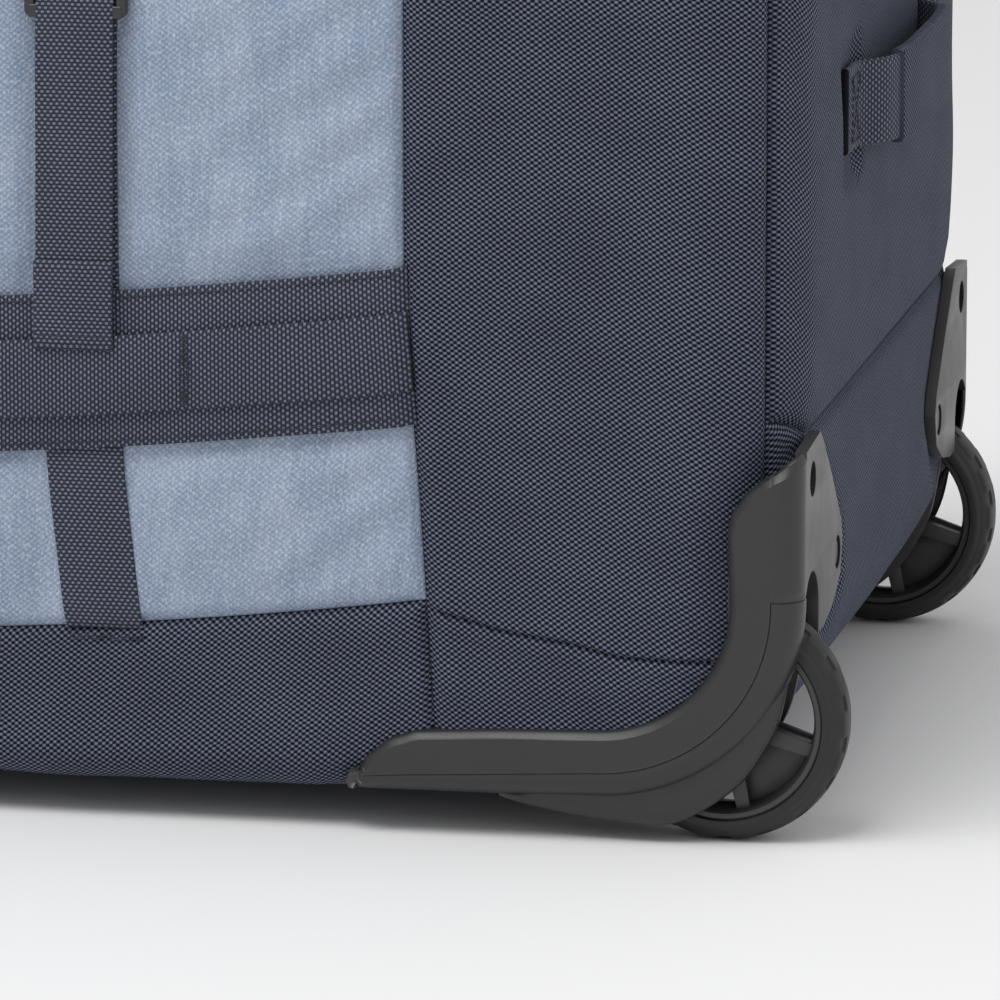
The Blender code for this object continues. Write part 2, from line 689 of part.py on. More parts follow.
def rim(side, word):
    """Wheel centre: hub, six ribs and a web that is open in every other space."""
    middle = WHEEL[1]
    half = RIM_HALF_WIDTH
    centre = (WHEEL[0], WHEEL[2])
    body = side_prism(arc(centre, RIM_OUTER, 0, 350, 10), side, middle - half, middle + half)
    recess_outer = arc(centre, RIM_INNER, 0, 350, 10)
    for low, high in ((middle + WEB_HALF, 0.18), (0.14, middle - WEB_HALF)):
        cut(body, side_prism(recess_outer, side, low, high))
    hub = side_prism(arc(centre, HUB_RADIUS, 0, 345, 15), side, middle - half, middle + half)
    join(body, hub)
    step = 2 * math.pi / SPOKES
    for k in range(SPOKES):
        join(body, spoke(side, SPOKE_ANGLE + k * step))
    for k in range(0, SPOKES, 2):
        cut(body, window(side, SPOKE_ANGLE + k * step))
    cut(body, side_prism(arc(centre, BORE_RADIUS, 0, 345, 15), side, 0.13, 0.19))
    return smooth(set_origin(named(body, f"rim_{word}", black_plastic()), wheel_centre(side)))


def wheel_centre(side):
    return (WHEEL[0], side * WHEEL[1], WHEEL[2])


def wheel(side, word):
    middle = WHEEL[1]
    seat = RIM_OUTER + GAP
    half = TYRE_HALF_WIDTH
    right = [(middle + half - 0.0006, seat), (middle + half, 0.0350), (middle + 0.0088, 0.0373),
             (middle + 0.0052, 0.0386), (middle, TYRE_RADIUS)]
    left = [(2 * middle - y, r) for y, r in reversed(right[:-1])]
    tyre = turned(right + left, WHEEL, side, 40, f"tyre_{word}", tyre_rubber(), ring=True)
    set_origin(tyre, wheel_centre(side))
    inner, outer = AXLE_RADIUS + GAP, BEARING_RADIUS
    low, high = middle - RIM_HALF_WIDTH, middle + RIM_HALF_WIDTH
    bearing = turned([(low, inner), (low, outer), (high, outer), (high, inner)], WHEEL, side, 24,
                     f"bearing_{word}", steel(), ring=True)
    set_origin(bearing, wheel_centre(side))
    rim(side, word)
    head = CHEEKS[0][0] - GAP
    tip = CHEEKS[1][1] - 0.0002
    stations = [(head - AXLE_HEAD_LENGTH, AXLE_HEAD_RADIUS), (head, AXLE_HEAD_RADIUS), (head, AXLE_RADIUS),
                (tip, AXLE_RADIUS)]
    turned(stations, WHEEL, side, 24, f"axle_{word}", steel())


# ---------------------------------------------------------------- telescoping handle and feet

def tube(name, side, span, size, finish):
    half_y, half_z = size[0] / 2, size[1] / 2
    centre = (side * TUBE_Y, TUBE_Z)
    outline = rectangle((centre[0] - half_y, centre[1] - half_z), (centre[0] + half_y, centre[1] + half_z), 0.0030)
    half_y -= TUBE_WALL
    half_z -= TUBE_WALL
    hole = rectangle((centre[0] - half_y, centre[1] - half_z), (centre[0] + half_y, centre[1] + half_z), 0.0018)
    piece = prism(outline, "X", *span)
    cut(piece, prism(hole, "X", span[0] - 0.01, span[1] + 0.01))
    return named(piece, name, finish)


def telescoping_handle():
    for word, side in SIDES.items():
        tube(f"outer_tube_{word}", side, OUTER_TUBE_X, OUTER_TUBE, tube_metal())
        inner = tube(f"inner_tube_{word}", side, INNER_TUBE_X, INNER_TUBE, tube_metal())
        set_origin(inner, (INNER_TUBE_X[0], side * TUBE_Y, TUBE_Z))
    bezel = prism(rectangle((-BEZEL_Y, BEZEL_Z[0]), (BEZEL_Y, BEZEL_Z[1]), 0.008), "X", *BEZEL_X)
    for side in SIDES.values():
        cut(bezel, tube_hole(side, -0.39, -0.35))
    named(bezel, "handle_bezel", black_plastic())
    grip = prism(rectangle((-GRIP_Y, GRIP_Z[0]), (GRIP_Y, GRIP_Z[1]), 0.009), "X", *GRIP_X)
    clear = 0.0005
    pocket = rectangle((-BUTTON_Y - clear, BUTTON_Z[0] - clear), (BUTTON_Y + clear, BUTTON_Z[1] + clear), 0.003)
    cut(grip, prism(pocket, "X", -0.40, BUTTON_POCKET_X))
    set_origin(named(grip, "grip", black_plastic()), (GRIP_X[1], 0, TUBE_Z))
    button = prism(rectangle((-BUTTON_Y, BUTTON_Z[0]), (BUTTON_Y, BUTTON_Z[1]), 0.003), "X", *BUTTON_X,
                   "grip_button", zip_plastic())
    set_origin(button, (BUTTON_X[1], 0, TUBE_Z))


def feet():
    for word, side in SIDES.items():
        low, high = sorted((side * FOOT_Y[0], side * FOOT_Y[1]))
        outline = rectangle((FOOT_X[0], low), (FOOT_X[1], high), FOOT_RADIUS)
        foot = prism(outline, "Z", 0.0, BODY_BOTTOM - GAP, f"foot_{word}", tyre_rubber())
        bevel = foot.modifiers.new("edge", "BEVEL")
        bevel.width = FOOT_BEVEL
        bevel.segments = 1


def main():
    for old in list(bpy.data.objects):
        bpy.data.objects.remove(old)
    shell = fabric_shell()
    base_tub(shell)
    side_panels(shell)
    end_wraps(shell)
    end_panels(shell)
    top_frame(shell)
    bpy.data.objects.remove(shell)
    lid()
    inner_boards()
    zip_parts()
    side_webbing()
    compression_straps()
    side_handles()
    end_handles()
    for word, side in SIDES.items():
        corner_moulding(side, word)
        wheel(side, word)
    telescoping_handle()
    feet()


main()
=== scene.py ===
import math

import bmesh
import bpy
import numpy as np
from bpy.props import FloatProperty, FloatVectorProperty, IntProperty, PointerProperty
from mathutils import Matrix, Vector
from mathutils.geometry import tessellate_polygon


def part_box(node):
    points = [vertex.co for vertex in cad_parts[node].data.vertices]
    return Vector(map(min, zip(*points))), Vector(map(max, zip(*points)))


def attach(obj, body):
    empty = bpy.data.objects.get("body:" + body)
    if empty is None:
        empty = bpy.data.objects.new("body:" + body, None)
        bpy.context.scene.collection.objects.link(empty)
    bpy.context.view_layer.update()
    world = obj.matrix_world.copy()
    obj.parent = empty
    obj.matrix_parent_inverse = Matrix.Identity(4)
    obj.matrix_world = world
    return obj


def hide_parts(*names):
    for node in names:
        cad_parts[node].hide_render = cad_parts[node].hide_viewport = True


bl_info = {
    "name": "Rolling Duffel Bag",
    "version": (1, 0, 0),
    "blender": (4, 5, 0),
    "location": "3D View > Sidebar > Duffel",
    "description": "Sewn panels, webbing, corner mouldings and wheels of a rolling duffel bag",
    "category": "Object",
}

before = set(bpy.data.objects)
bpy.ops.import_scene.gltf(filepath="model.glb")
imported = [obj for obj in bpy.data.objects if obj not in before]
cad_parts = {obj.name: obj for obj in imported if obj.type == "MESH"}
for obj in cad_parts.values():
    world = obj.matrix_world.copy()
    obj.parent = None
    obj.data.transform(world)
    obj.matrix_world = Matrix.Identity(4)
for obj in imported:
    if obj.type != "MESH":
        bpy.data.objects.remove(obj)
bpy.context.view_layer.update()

SIDES = {"left": 1, "right": -1}
ENDS = {"front": 1, "rear": -1}

# Body form, read from the frame
BODY_X, BODY_Y, BODY_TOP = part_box("top_frame")[1]
TOP_SEAM_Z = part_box("top_frame")[0].z
BODY_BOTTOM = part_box("base_tub")[0].z
PLAN_RADIUS = 0.035
SIDE_TOP_RADIUS, SIDE_BOTTOM_RADIUS = 0.050, 0.012
END_TOP_RADIUS = 0.040
END_BOTTOM_RADIUS = {1: 0.060, -1: 0.015}
CORNER_SEAM = math.radians(48)

# Seams of the side: the upright ones, and how much the level ones dip in the middle
SEAM_HEIGHTS = (-0.010, 0.108, 0.170, 0.300)
SEAM_REACHES = (0.2530, 0.2455, 0.2405, 0.2405)
SMILE = 0.30
BAND_SEAM_Z = 0.0575
END_SEAM_Z = 0.127

# Webbing
WIDE, NARROW = 0.050, 0.025
WIDE_Z, NARROW_Z = 0.1400, 0.1385
WIDE_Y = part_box("daisy_webbing_left")[0].y
NARROW_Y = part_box("daisy_loops_left")[0].y
STRAP_X = 0.1375
BAR_TACKS = (0.0345, 0.1035, 0.1715, 0.2360)

# Corner moulding, seen from the side and from the end
CORNER = (0.3025, 0.0788)
INNER_RADIUS, PARTING_RADIUS, OUTER_RADIUS = 0.042, 0.0555, 0.065
GUARD_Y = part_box("corner_guard_left")[1].y
FLANGE_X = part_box("corner_guard_left")[1].x
FLANGE_BACK = 0.0037
WELL_RADIUS = 0.0475
FLANGE_OUTLINE = (
    (0.1440, 0.1285), (0.1385, 0.1250), (0.1210, 0.1100), (0.1020, 0.0920), (0.0990, 0.0850),
    (0.1030, 0.0740), (0.1180, 0.0670), (0.1340, 0.0640), (0.1455, 0.0640),
)
ARCH = (0.159, 0.0730, 0.0135)
FLANGE_HOLES = (((0.1580, 0.1160), 0.0056), ((0.1085, 0.0822), 0.0054))

WHEEL_X = sum(p.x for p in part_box("tyre_left")) / 2
WHEEL_Y = sum(p.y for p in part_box("tyre_left")) / 2
WHEEL_Z = sum(p.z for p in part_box("tyre_left")) / 2
TYRE_RADIUS = WHEEL_Z
TYRE_SEAT = 0.0318
SPOKES = 6
SPOKE_ANGLE = math.radians(-17.5)


# ---------------------------------------------------------------- settings

def length_setting(name, description, default):
    return FloatProperty(name=name, description=description, default=default, min=0.0, unit="LENGTH", precision=5)


def colour_setting(name, description, default):
    return FloatVectorProperty(name=name, description=description, default=default, size=3, min=0.0, max=1.0,
                               subtype="COLOR")


class DuffelClothSettings(bpy.types.PropertyGroup):
    """Panels of the bag"""

    heather: colour_setting("Heather", "Light blue side and lid cloth", (0.185, 0.245, 0.355))
    fleck: colour_setting("Fleck", "Pale threads in the light blue cloth", (0.52, 0.57, 0.67))
    # Navy is the raised threads painted lit; shade is painted shade for the sunk threads.
    navy: colour_setting("Navy", "Raised threads of the dark cloth", (0.175, 0.197, 0.280))
    shade: colour_setting("Shade", "Sunk threads of the dark cloth", (0.003, 0.004, 0.008))
    lining: colour_setting("Lining", "Cloth inside the bag", (0.16, 0.17, 0.19))
    thread_width: length_setting("Thread width", "Spacing of the threads along a panel", 0.00120)
    thread_height: length_setting("Thread height", "Spacing of the threads up a panel", 0.00090)
    puff: length_setting("Puff", "How far a panel stands out between its seams", 0.0026)
    pucker: length_setting("Pucker", "Height of the folds that start at the seams", 0.0007)
    tuck: length_setting("Tuck", "How deep a seam sits", 0.0019)
    thickness: length_setting("Thickness", "Cloth with its backing", 0.0015)


class DuffelWebbingSettings(bpy.types.PropertyGroup):
    """Webbing, straps and their stitching"""

    # The webbing colour is painted lit on the raised ribs; shade is painted shade in the grooves between them.
    colour: colour_setting("Webbing", "Raised ribs of the webbing", (0.185, 0.203, 0.285))
    shade: colour_setting("Shade", "Grooves between the ribs", (0.006, 0.007, 0.012))
    thread: colour_setting("Thread", "Sewing thread", (0.030, 0.034, 0.052))
    thickness: length_setting("Thickness", "Webbing thickness", 0.0014)
    rib: length_setting("Rib", "Spacing of the ribs along the webbing", 0.00125)
    grain: length_setting("Grain", "Spacing of the threads across the webbing", 0.00048)
    stitch: length_setting("Stitch", "Length of one stitch", 0.0026)
    thread_radius: length_setting("Thread radius", "Thickness of the sewing thread", 0.00028)


class DuffelHardwareSettings(bpy.types.PropertyGroup):
    """Mouldings, wheels and fittings"""

    moulding: colour_setting("Moulding", "Corner guards and other black plastic", (0.024, 0.024, 0.025))
    rim: colour_setting("Wheel centre", "Moulded wheel centre", (0.036, 0.036, 0.037))
    tyre: colour_setting("Tyre", "Rubber of the tyres and feet", (0.016, 0.016, 0.017))
    metal: colour_setting("Tubes", "Tubes of the pull handle", (0.30, 0.31, 0.33))
    bevel: length_setting("Bevel", "Width of the guard's sloping inner edge", 0.0027)
    tread_depth: length_setting("Tread depth", "Depth of the tyre's moulded blocks", 0.0010)
    tread_blocks: IntProperty(name="Tread blocks", description="Blocks round one tyre", default=18, min=6, max=60)


class DuffelStageSettings(bpy.types.PropertyGroup):
    """Camera, floor and light"""

    distance: length_setting("Camera distance", "From the camera to the wheel corner", 2.7)
    azimuth: FloatProperty(name="Azimuth", description="Camera angle round the bag", default=math.radians(11.39),
                           subtype="ANGLE")
    elevation: FloatProperty(name="Elevation", description="Camera angle above the floor",
                             default=math.radians(11.92), subtype="ANGLE")
    lens: FloatProperty(name="Lens", description="Focal length in millimetres", default=312.7, min=10.0)
    floor: colour_setting("Floor", "Floor colour", (0.86, 0.86, 0.86))
    sky: FloatProperty(name="Surround light", description="Strength of the even light", default=0.62, min=0.0)
    key: FloatProperty(name="Key light", description="Power of the large light above", default=72.0, min=0.0)


SETTINGS = {
    "duffel_cloth": DuffelClothSettings,
    "duffel_webbing": DuffelWebbingSettings,
    "duffel_hardware": DuffelHardwareSettings,
    "duffel_stage": DuffelStageSettings,
}


# ---------------------------------------------------------------- materials

class Recipe:
    """A procedural material and the nodes that go into it."""

    def __init__(self, name, roughness=0.8, metallic=0.0, specular=0.5):
        self.material = bpy.data.materials.new(name)
        self.material.use_nodes = True
        self.tree = self.material.node_tree
        self.shader = self.tree.nodes["Principled BSDF"]
        self.shader.inputs["Roughness"].default_value = roughness
        self.shader.inputs["Metallic"].default_value = metallic
        self.shader.inputs["Specular IOR Level"].default_value = specular

    def add(self, kind, **settings):
        node = self.tree.nodes.new(kind)
        for key, value in settings.items():
            setattr(node, key, value)
        return node

    def feed(self, socket, value):
        """Joins an output to a socket, or sets the socket's own value."""
        if isinstance(value, bpy.types.NodeSocket):
            self.tree.links.new(value, socket)
        else:
            socket.default_value = value

    def math(self, operation, *values):
        node = self.add("ShaderNodeMath", operation=operation)
        for socket, value in zip(node.inputs, values):
            self.feed(socket, value)
        return node.outputs[0]

    def place(self):
        """Coordinates of the object, in metres."""
        return self.add("ShaderNodeTexCoord").outputs["Object"]

    def cloth_place(self):
        """Metres along and across the cloth."""
        split = self.add("ShaderNodeSeparateXYZ")
        self.feed(split.inputs[0], self.add("ShaderNodeUVMap", uv_map="cloth").outputs[0])
        return split.outputs[0], split.outputs[1]

    def scaled(self, along, across, scale_along, scale_across):
        joined = self.add("ShaderNodeCombineXYZ")
        self.feed(joined.inputs[0], self.math("MULTIPLY", along, scale_along))
        self.feed(joined.inputs[1], self.math("MULTIPLY", across, scale_across))
        return joined.outputs[0]

    def noise(self, vector, scale=1.0, detail=2.0):
        node = self.add("ShaderNodeTexNoise")
        self.feed(node.inputs["Vector"], vector)
        node.inputs["Scale"].default_value = scale
        node.inputs["Detail"].default_value = detail
        return node.outputs["Fac"]

    def step(self, value, low, high, result_low=0.0, result_high=1.0):
        node = self.add("ShaderNodeMapRange", interpolation_type="SMOOTHSTEP")
        for socket, item in zip(node.inputs, (value, low, high, result_low, result_high)):
            self.feed(socket, item)
        return node.outputs[0]

    def mix(self, share, first, second):
        node = self.add("ShaderNodeMix", data_type="RGBA")
        self.feed(node.inputs[0], share)
        for socket, colour in ((node.inputs[6], first), (node.inputs[7], second)):
            self.feed(socket, colour if isinstance(colour, bpy.types.NodeSocket) else (*colour, 1.0))
        return node.outputs[2]

    def colour(self, value):
        self.feed(self.shader.inputs["Base Color"], value)

    def bump(self, height, distance, strength=1.0):
        node = self.add("ShaderNodeBump")
        self.feed(node.inputs["Height"], height)
        node.inputs["Distance"].default_value = distance
        node.inputs["Strength"].default_value = strength
        self.feed(self.shader.inputs["Normal"], node.outputs[0])


def weave(recipe, along, across, width, height):
    """Staggered threads of a basket weave: (how high the cloth is, how far it is painted lit on the raised threads
    rather than in painted shade between them), both from 0 to 1.
    """
    wave_along = recipe.math("SINE", recipe.math("MULTIPLY", along, math.pi / width))
    wave_across = recipe.math("SINE", recipe.math("MULTIPLY", across, math.pi / height))
    crossing = recipe.math("MULTIPLY", wave_along, wave_across)
    return recipe.step(crossing, -0.8, 0.9), recipe.step(crossing, -0.50, 0.95)


def waver(recipe, along, across, amount):
    """The same coordinates with the slight wander of real threads."""
    vector = recipe.scaled(along, across, 170.0, 170.0)
    shift = recipe.math("MULTIPLY", recipe.math("SUBTRACT", recipe.noise(vector), 0.5), amount)
    return recipe.math("ADD", along, shift), recipe.math("ADD", across, shift)


def navy_cloth():
    """Coarse basket weave, matte, with a little sheen; its raised threads are painted lit and its sunk threads carry
    painted shade.
    """
    cloth = bpy.context.scene.duffel_cloth
    recipe = Recipe("navy_basket_weave", roughness=0.85, specular=0.14)
    along, across = recipe.cloth_place()
    along, across = waver(recipe, along, across, 0.0009)
    raised, painted_thread_light = weave(recipe, along, across, cloth.thread_width, cloth.thread_height)
    fibre = recipe.noise(recipe.scaled(along, across, 2600.0, 900.0), detail=1.0)
    broad = recipe.noise(recipe.scaled(along, across, 28.0, 45.0))
    # Painted light on the raised threads and painted shade in the sunk ones, varied by fibre and broad noise.
    share = recipe.math("MULTIPLY", painted_thread_light, recipe.math("ADD", recipe.math("MULTIPLY", fibre, 0.7), 0.62))
    share = recipe.math("MULTIPLY", share, recipe.math("ADD", recipe.math("MULTIPLY", broad, 0.5), 0.75))
    recipe.colour(recipe.mix(share, cloth.shade, cloth.navy))
    recipe.bump(recipe.math("ADD", raised, recipe.math("MULTIPLY", fibre, 0.25)), 0.00040)
    recipe.shader.inputs["Sheen Weight"].default_value = 0.02
    return recipe.material


def heather_cloth():
    """Light blue weave with pale flecks that run up the cloth; its raised threads are painted lighter as painted light.
    """
    cloth = bpy.context.scene.duffel_cloth
    recipe = Recipe("heather_weave", roughness=0.85, specular=0.2)
    along, across = recipe.cloth_place()
    along, across = waver(recipe, along, across, 0.0007)
    raised, painted_thread_light = weave(recipe, along, across, cloth.thread_width * 0.97, cloth.thread_height * 0.98)
    fleck = recipe.step(recipe.noise(recipe.scaled(along, across, 1150.0, 620.0), detail=1.0), 0.48, 0.70)
    streak = recipe.step(recipe.noise(recipe.scaled(along, across, 420.0, 42.0)), 0.30, 0.72)
    cloud = recipe.step(recipe.noise(recipe.scaled(along, across, 60.0, 24.0)), 0.30, 0.70)
    # The weave part of the share is painted light on the raised threads; the flecks, streaks and clouds are the yarn's
    # own tone.
    share = recipe.math("ADD", recipe.math("MULTIPLY", painted_thread_light, 0.34), recipe.math("MULTIPLY", fleck, 0.36))
    share = recipe.math("ADD", share, recipe.math("MULTIPLY", streak, 0.12))
    share = recipe.math("ADD", share, recipe.math("MULTIPLY", cloud, 0.16))
    recipe.colour(recipe.mix(share, cloth.heather, cloth.fleck))
    recipe.bump(recipe.math("ADD", raised, recipe.math("MULTIPLY", fleck, 0.4)), 0.00012)
    recipe.shader.inputs["Sheen Weight"].default_value = 0.08
    return recipe.material


def lining_cloth():
    """Smooth grey lining with a fine plain weave, painted darker between its threads as painted shade."""
    cloth = bpy.context.scene.duffel_cloth
    recipe = Recipe("lining_weave", roughness=0.7, specular=0.3)
    along, across = recipe.cloth_place()
    raised, painted_thread_light = weave(recipe, along, across, 0.0006, 0.0006)
    # A shaded copy of the lining colour, painted shade between the threads.
    dark = tuple(0.55 * value for value in cloth.lining)
    recipe.colour(recipe.mix(painted_thread_light, dark, cloth.lining))
    recipe.bump(raised, 0.0001)
    return recipe.material


def webbing_cloth():
    """Ribbed webbing: ribs across its length with finer threads between them. The ribs and raised threads are painted
    lit and the grooves carry painted shade.
    """
    webbing = bpy.context.scene.duffel_webbing
    recipe = Recipe("ribbed_webbing", roughness=0.75, specular=0.2)
    along, across = recipe.cloth_place()
    along, across = waver(recipe, along, across, 0.0004)
    raised, painted_thread_light = weave(recipe, along, across, webbing.rib, webbing.grain * 2.0)
    rib = recipe.math("ABSOLUTE", recipe.math("SINE", recipe.math("MULTIPLY", along, math.pi / webbing.rib)))
    fibre = recipe.noise(recipe.scaled(along, across, 1500.0, 2600.0), detail=1.0)
    broad = recipe.noise(recipe.scaled(along, across, 30.0, 60.0))
    # Painted light on the ribs and raised threads, painted shade in the grooves between them.
    share = recipe.math("ADD", recipe.math("MULTIPLY", recipe.math("MULTIPLY", painted_thread_light, rib), 0.95),
                        recipe.math("MULTIPLY", rib, 0.16))
    share = recipe.math("MULTIPLY", share, recipe.math("ADD", recipe.math("MULTIPLY", fibre, 0.8), 0.60))
    share = recipe.math("MULTIPLY", share, recipe.math("ADD", recipe.math("MULTIPLY", broad, 0.35), 0.82))
    recipe.colour(recipe.mix(share, webbing.shade, webbing.colour))
    recipe.bump(recipe.math("ADD", rib, recipe.math("MULTIPLY", raised, 0.6)), 0.00028)
    recipe.shader.inputs["Sheen Weight"].default_value = 0.05
    return recipe.material


def sewing_thread():
    webbing = bpy.context.scene.duffel_webbing
    recipe = Recipe("sewing_thread", roughness=0.55, specular=0.4)
    twist = recipe.noise(recipe.place(), 2400.0, 1.0)
    dark = tuple(0.5 * value for value in webbing.thread)
    recipe.colour(recipe.mix(twist, dark, webbing.thread))
    recipe.bump(twist, 0.00008)
    return recipe.material


def moulded(name, colour, roughness, grain=0.00006, coat=0.0):
    """Injection-moulded plastic: a fine even grain, faint flow marks and edges a little paler where the surface turns
    sharply.
    """
    recipe = Recipe(name, roughness=roughness, specular=0.5)
    place = recipe.place()
    fine = recipe.noise(place, 2600.0, 2.0)
    flow = recipe.noise(place, 38.0, 3.0)
    # Sharply turned edges are mixed halfway towards a paler colour.
    sharp_edge = recipe.step(recipe.add("ShaderNodeNewGeometry").outputs["Pointiness"], 0.52, 0.62)
    pale = tuple(min(1.0, 1.9 * value + 0.01) for value in colour)
    dark = tuple(0.8 * value for value in colour)
    even = recipe.mix(recipe.math("MULTIPLY", recipe.math("ADD", flow, fine), 0.5), dark,
                      tuple(1.25 * value for value in colour))
    recipe.colour(recipe.mix(recipe.math("MULTIPLY", sharp_edge, 0.5), even, pale))
    recipe.feed(recipe.shader.inputs["Roughness"], recipe.step(flow, 0.2, 0.8, roughness - 0.06, roughness + 0.06))
    recipe.bump(fine, grain)
    recipe.shader.inputs["Coat Weight"].default_value = coat
    return recipe.material


def black_moulding():
    return moulded("black_moulding", bpy.context.scene.duffel_hardware.moulding, 0.38)


# Near-black plastic for the walls of the flange holes: painted shade for the dark inside of the holes, darker than the
# moulding itself.
def painted_shade_plastic():
    return moulded("painted_shade_plastic", (0.004, 0.004, 0.004), 0.8)


def wheel_plastic():
    return moulded("wheel_centre_plastic", bpy.context.scene.duffel_hardware.rim, 0.42)


def zip_plastic():
    return moulded("zip_plastic", (0.032, 0.033, 0.040), 0.4, grain=0.00002)


def button_plastic():
    return moulded("button_plastic", (0.26, 0.27, 0.28), 0.35, grain=0.00002)


def board_plastic():
    return moulded("board_plastic", (0.10, 0.10, 0.11), 0.6, grain=0.0001)


def rubber():
    """Tyre rubber: matte, with fine dust in its low spots."""
    recipe = Recipe("rubber", roughness=0.58, specular=0.4)
    place = recipe.place()
    fine = recipe.noise(place, 1500.0, 3.0)
    dust = recipe.step(recipe.noise(place, 55.0, 4.0), 0.35, 0.75)
    colour = bpy.context.scene.duffel_hardware.tyre
    recipe.colour(recipe.mix(recipe.math("MULTIPLY", dust, 0.45), colour, tuple(2.0 * v for v in colour)))
    recipe.feed(recipe.shader.inputs["Roughness"], recipe.step(dust, 0.0, 1.0, 0.46, 0.66))
    recipe.bump(fine, 0.00008)
    return recipe.material


def brushed_tube():
    """Anodised tube with a fine grain along its length."""
    recipe = Recipe("brushed_tube", roughness=0.34, metallic=1.0)
    stretch = recipe.add("ShaderNodeMapping")
    stretch.inputs["Scale"].default_value = (12.0, 1400.0, 1400.0)
    recipe.feed(stretch.inputs["Vector"], recipe.place())
    grain = recipe.noise(stretch.outputs[0], 1.0, 2.0)
    colour = bpy.context.scene.duffel_hardware.metal
    recipe.colour(recipe.mix(grain, tuple(0.85 * v for v in colour), tuple(1.15 * v for v in colour)))
    recipe.bump(grain, 0.00003)
    return recipe.material


def turned_steel():
    recipe = Recipe("turned_steel", roughness=0.3, metallic=1.0)
    grain = recipe.noise(recipe.place(), 900.0, 2.0)
    recipe.colour(recipe.mix(grain, (0.42, 0.42, 0.44), (0.62, 0.62, 0.64)))
    recipe.bump(grain, 0.00003)
    return recipe.material


def floor_paint():
    stage = bpy.context.scene.duffel_stage
    recipe = Recipe("floor_paint", roughness=0.9, specular=0.1)
    soft = recipe.noise(recipe.place(), 3.0, 2.0)
    recipe.colour(recipe.mix(soft, tuple(0.99 * v for v in stage.floor), stage.floor))
    return recipe.material


FINISHES = {
    "navy": navy_cloth,
    "heather": heather_cloth,
    "lining": lining_cloth,
    "webbing": webbing_cloth,
    "thread": sewing_thread,
    "moulding": black_moulding,
    "recess": painted_shade_plastic,
    "wheel": wheel_plastic,
    "zip": zip_plastic,
    "button": button_plastic,
    "board": board_plastic,
    "rubber": rubber,
    "tube": brushed_tube,
    "steel": turned_steel,
    "floor": floor_paint,
}
_made = {}


def finish(word):
    """The material of that name, made once."""
    if word not in _made:
        _made[word] = FINISHES[word]()
    return _made[word]


# ---------------------------------------------------------------- mesh helpers

def place_piece(piece, slot, *nodes, body="bag"):
    """Puts a finished piece on its body, in place of the frame's own nodes."""
    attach(piece, body)
    if nodes:
        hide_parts(*nodes)
    return piece


def new_piece(name, mesh, *finishes, smooth=True):
    piece = bpy.data.objects.new(name, mesh)
    bpy.context.scene.collection.objects.link(piece)
    for word in finishes:
        mesh.materials.append(finish(word))
    if smooth:
        mesh.shade_smooth()
    return piece


def grid_mesh(name, points, places, keep=None):
    """A mesh from rows of points. places holds metres along and across the cloth for the same grid."""
    rows, columns = points.shape[:2]
    index = np.arange(rows * columns).reshape(rows, columns)
    faces = np.stack((index[:-1, :-1], index[:-1, 1:], index[1:, 1:], index[1:, :-1]), -1).reshape(-1, 4)
    if keep is not None:
        inside = keep.reshape(-1)[faces].all(axis=1)
        faces = faces[inside]
    mesh = bpy.data.meshes.new(name)
    mesh.from_pydata(points.reshape(-1, 3).tolist(), [], faces.tolist())
    layer = mesh.uv_layers.new(name="cloth")
    layer.data.foreach_set("uv", places.reshape(-1, 2)[faces.ravel()].ravel())
    return mesh


def lengths(points, axis):
    """How far along the grid each point lies, from its first row or column."""
    step = np.linalg.norm(np.diff(points, axis=axis), axis=-1)
    run = np.cumsum(step, axis=axis)
    start = np.zeros_like(np.take(run, [0], axis=axis))
    return np.concatenate((start, run), axis=axis)


def grid_normals(points):
    along = np.gradient(points, axis=1)
    across = np.gradient(points, axis=0)
    normals = np.cross(along, across)
    normals /= np.maximum(np.linalg.norm(normals, axis=-1, keepdims=True), 1e-12)
    return normals


def stops(length, pitch, crowd=(0.0007, 0.0015, 0.0024, 0.0035, 0.0050, 0.0070)):
    """Positions from 0 to 1, close together near both ends of a length."""
    crowd = [c for c in crowd if c < length / 3]
    first = crowd[-1] if crowd else 0.0
    middle = np.linspace(first, length - first, max(2, round((length - 2 * first) / pitch)))
    return np.array([0.0, *crowd[:-1], *middle, *[length - c for c in reversed(crowd[:-1])], length]) / length


def smooth_step(value, low, high):
    t = np.clip((value - low) / (high - low), 0, 1)
    return t * t * (3 - 2 * t)


def outline_distance(a, b, outline):
    """Distance from an outline, below zero inside it."""
    nearest = np.full(a.shape, 1e9)
    inside = np.zeros(a.shape, bool)
    count = len(outline)
    for i in range(count):
        a0, b0 = outline[i]
        a1, b1 = outline[(i + 1) % count]
        da, db = a1 - a0, b1 - b0
        t = np.clip(((a - a0) * da + (b - b0) * db) / max(da * da + db * db, 1e-12), 0, 1)
        nearest = np.minimum(nearest, np.hypot(a - a0 - t * da, b - b0 - t * db))
        crosses = (b0 > b) != (b1 > b)
        with np.errstate(divide="ignore", invalid="ignore"):
            where = a0 + (b - b0) * da / db if db else np.full(a.shape, -1e9)
        inside ^= crosses & (a < where)
    return np.where(inside, -nearest, nearest)


def ripple(a, b, seed, wavelength):
    """Smooth irregular waves between about -1 and 1, the same on every run."""
    random = np.random.default_rng(seed)
    total = np.zeros_like(a)
    for _ in range(7):
        angle = random.uniform(0, 2 * math.pi)
        size = wavelength * random.uniform(0.6, 1.6)
        phase = random.uniform(0, 2 * math.pi)
        total += np.sin((a * math.cos(angle) + b * math.sin(angle)) * 2 * math.pi / size + phase)
    return total / 4


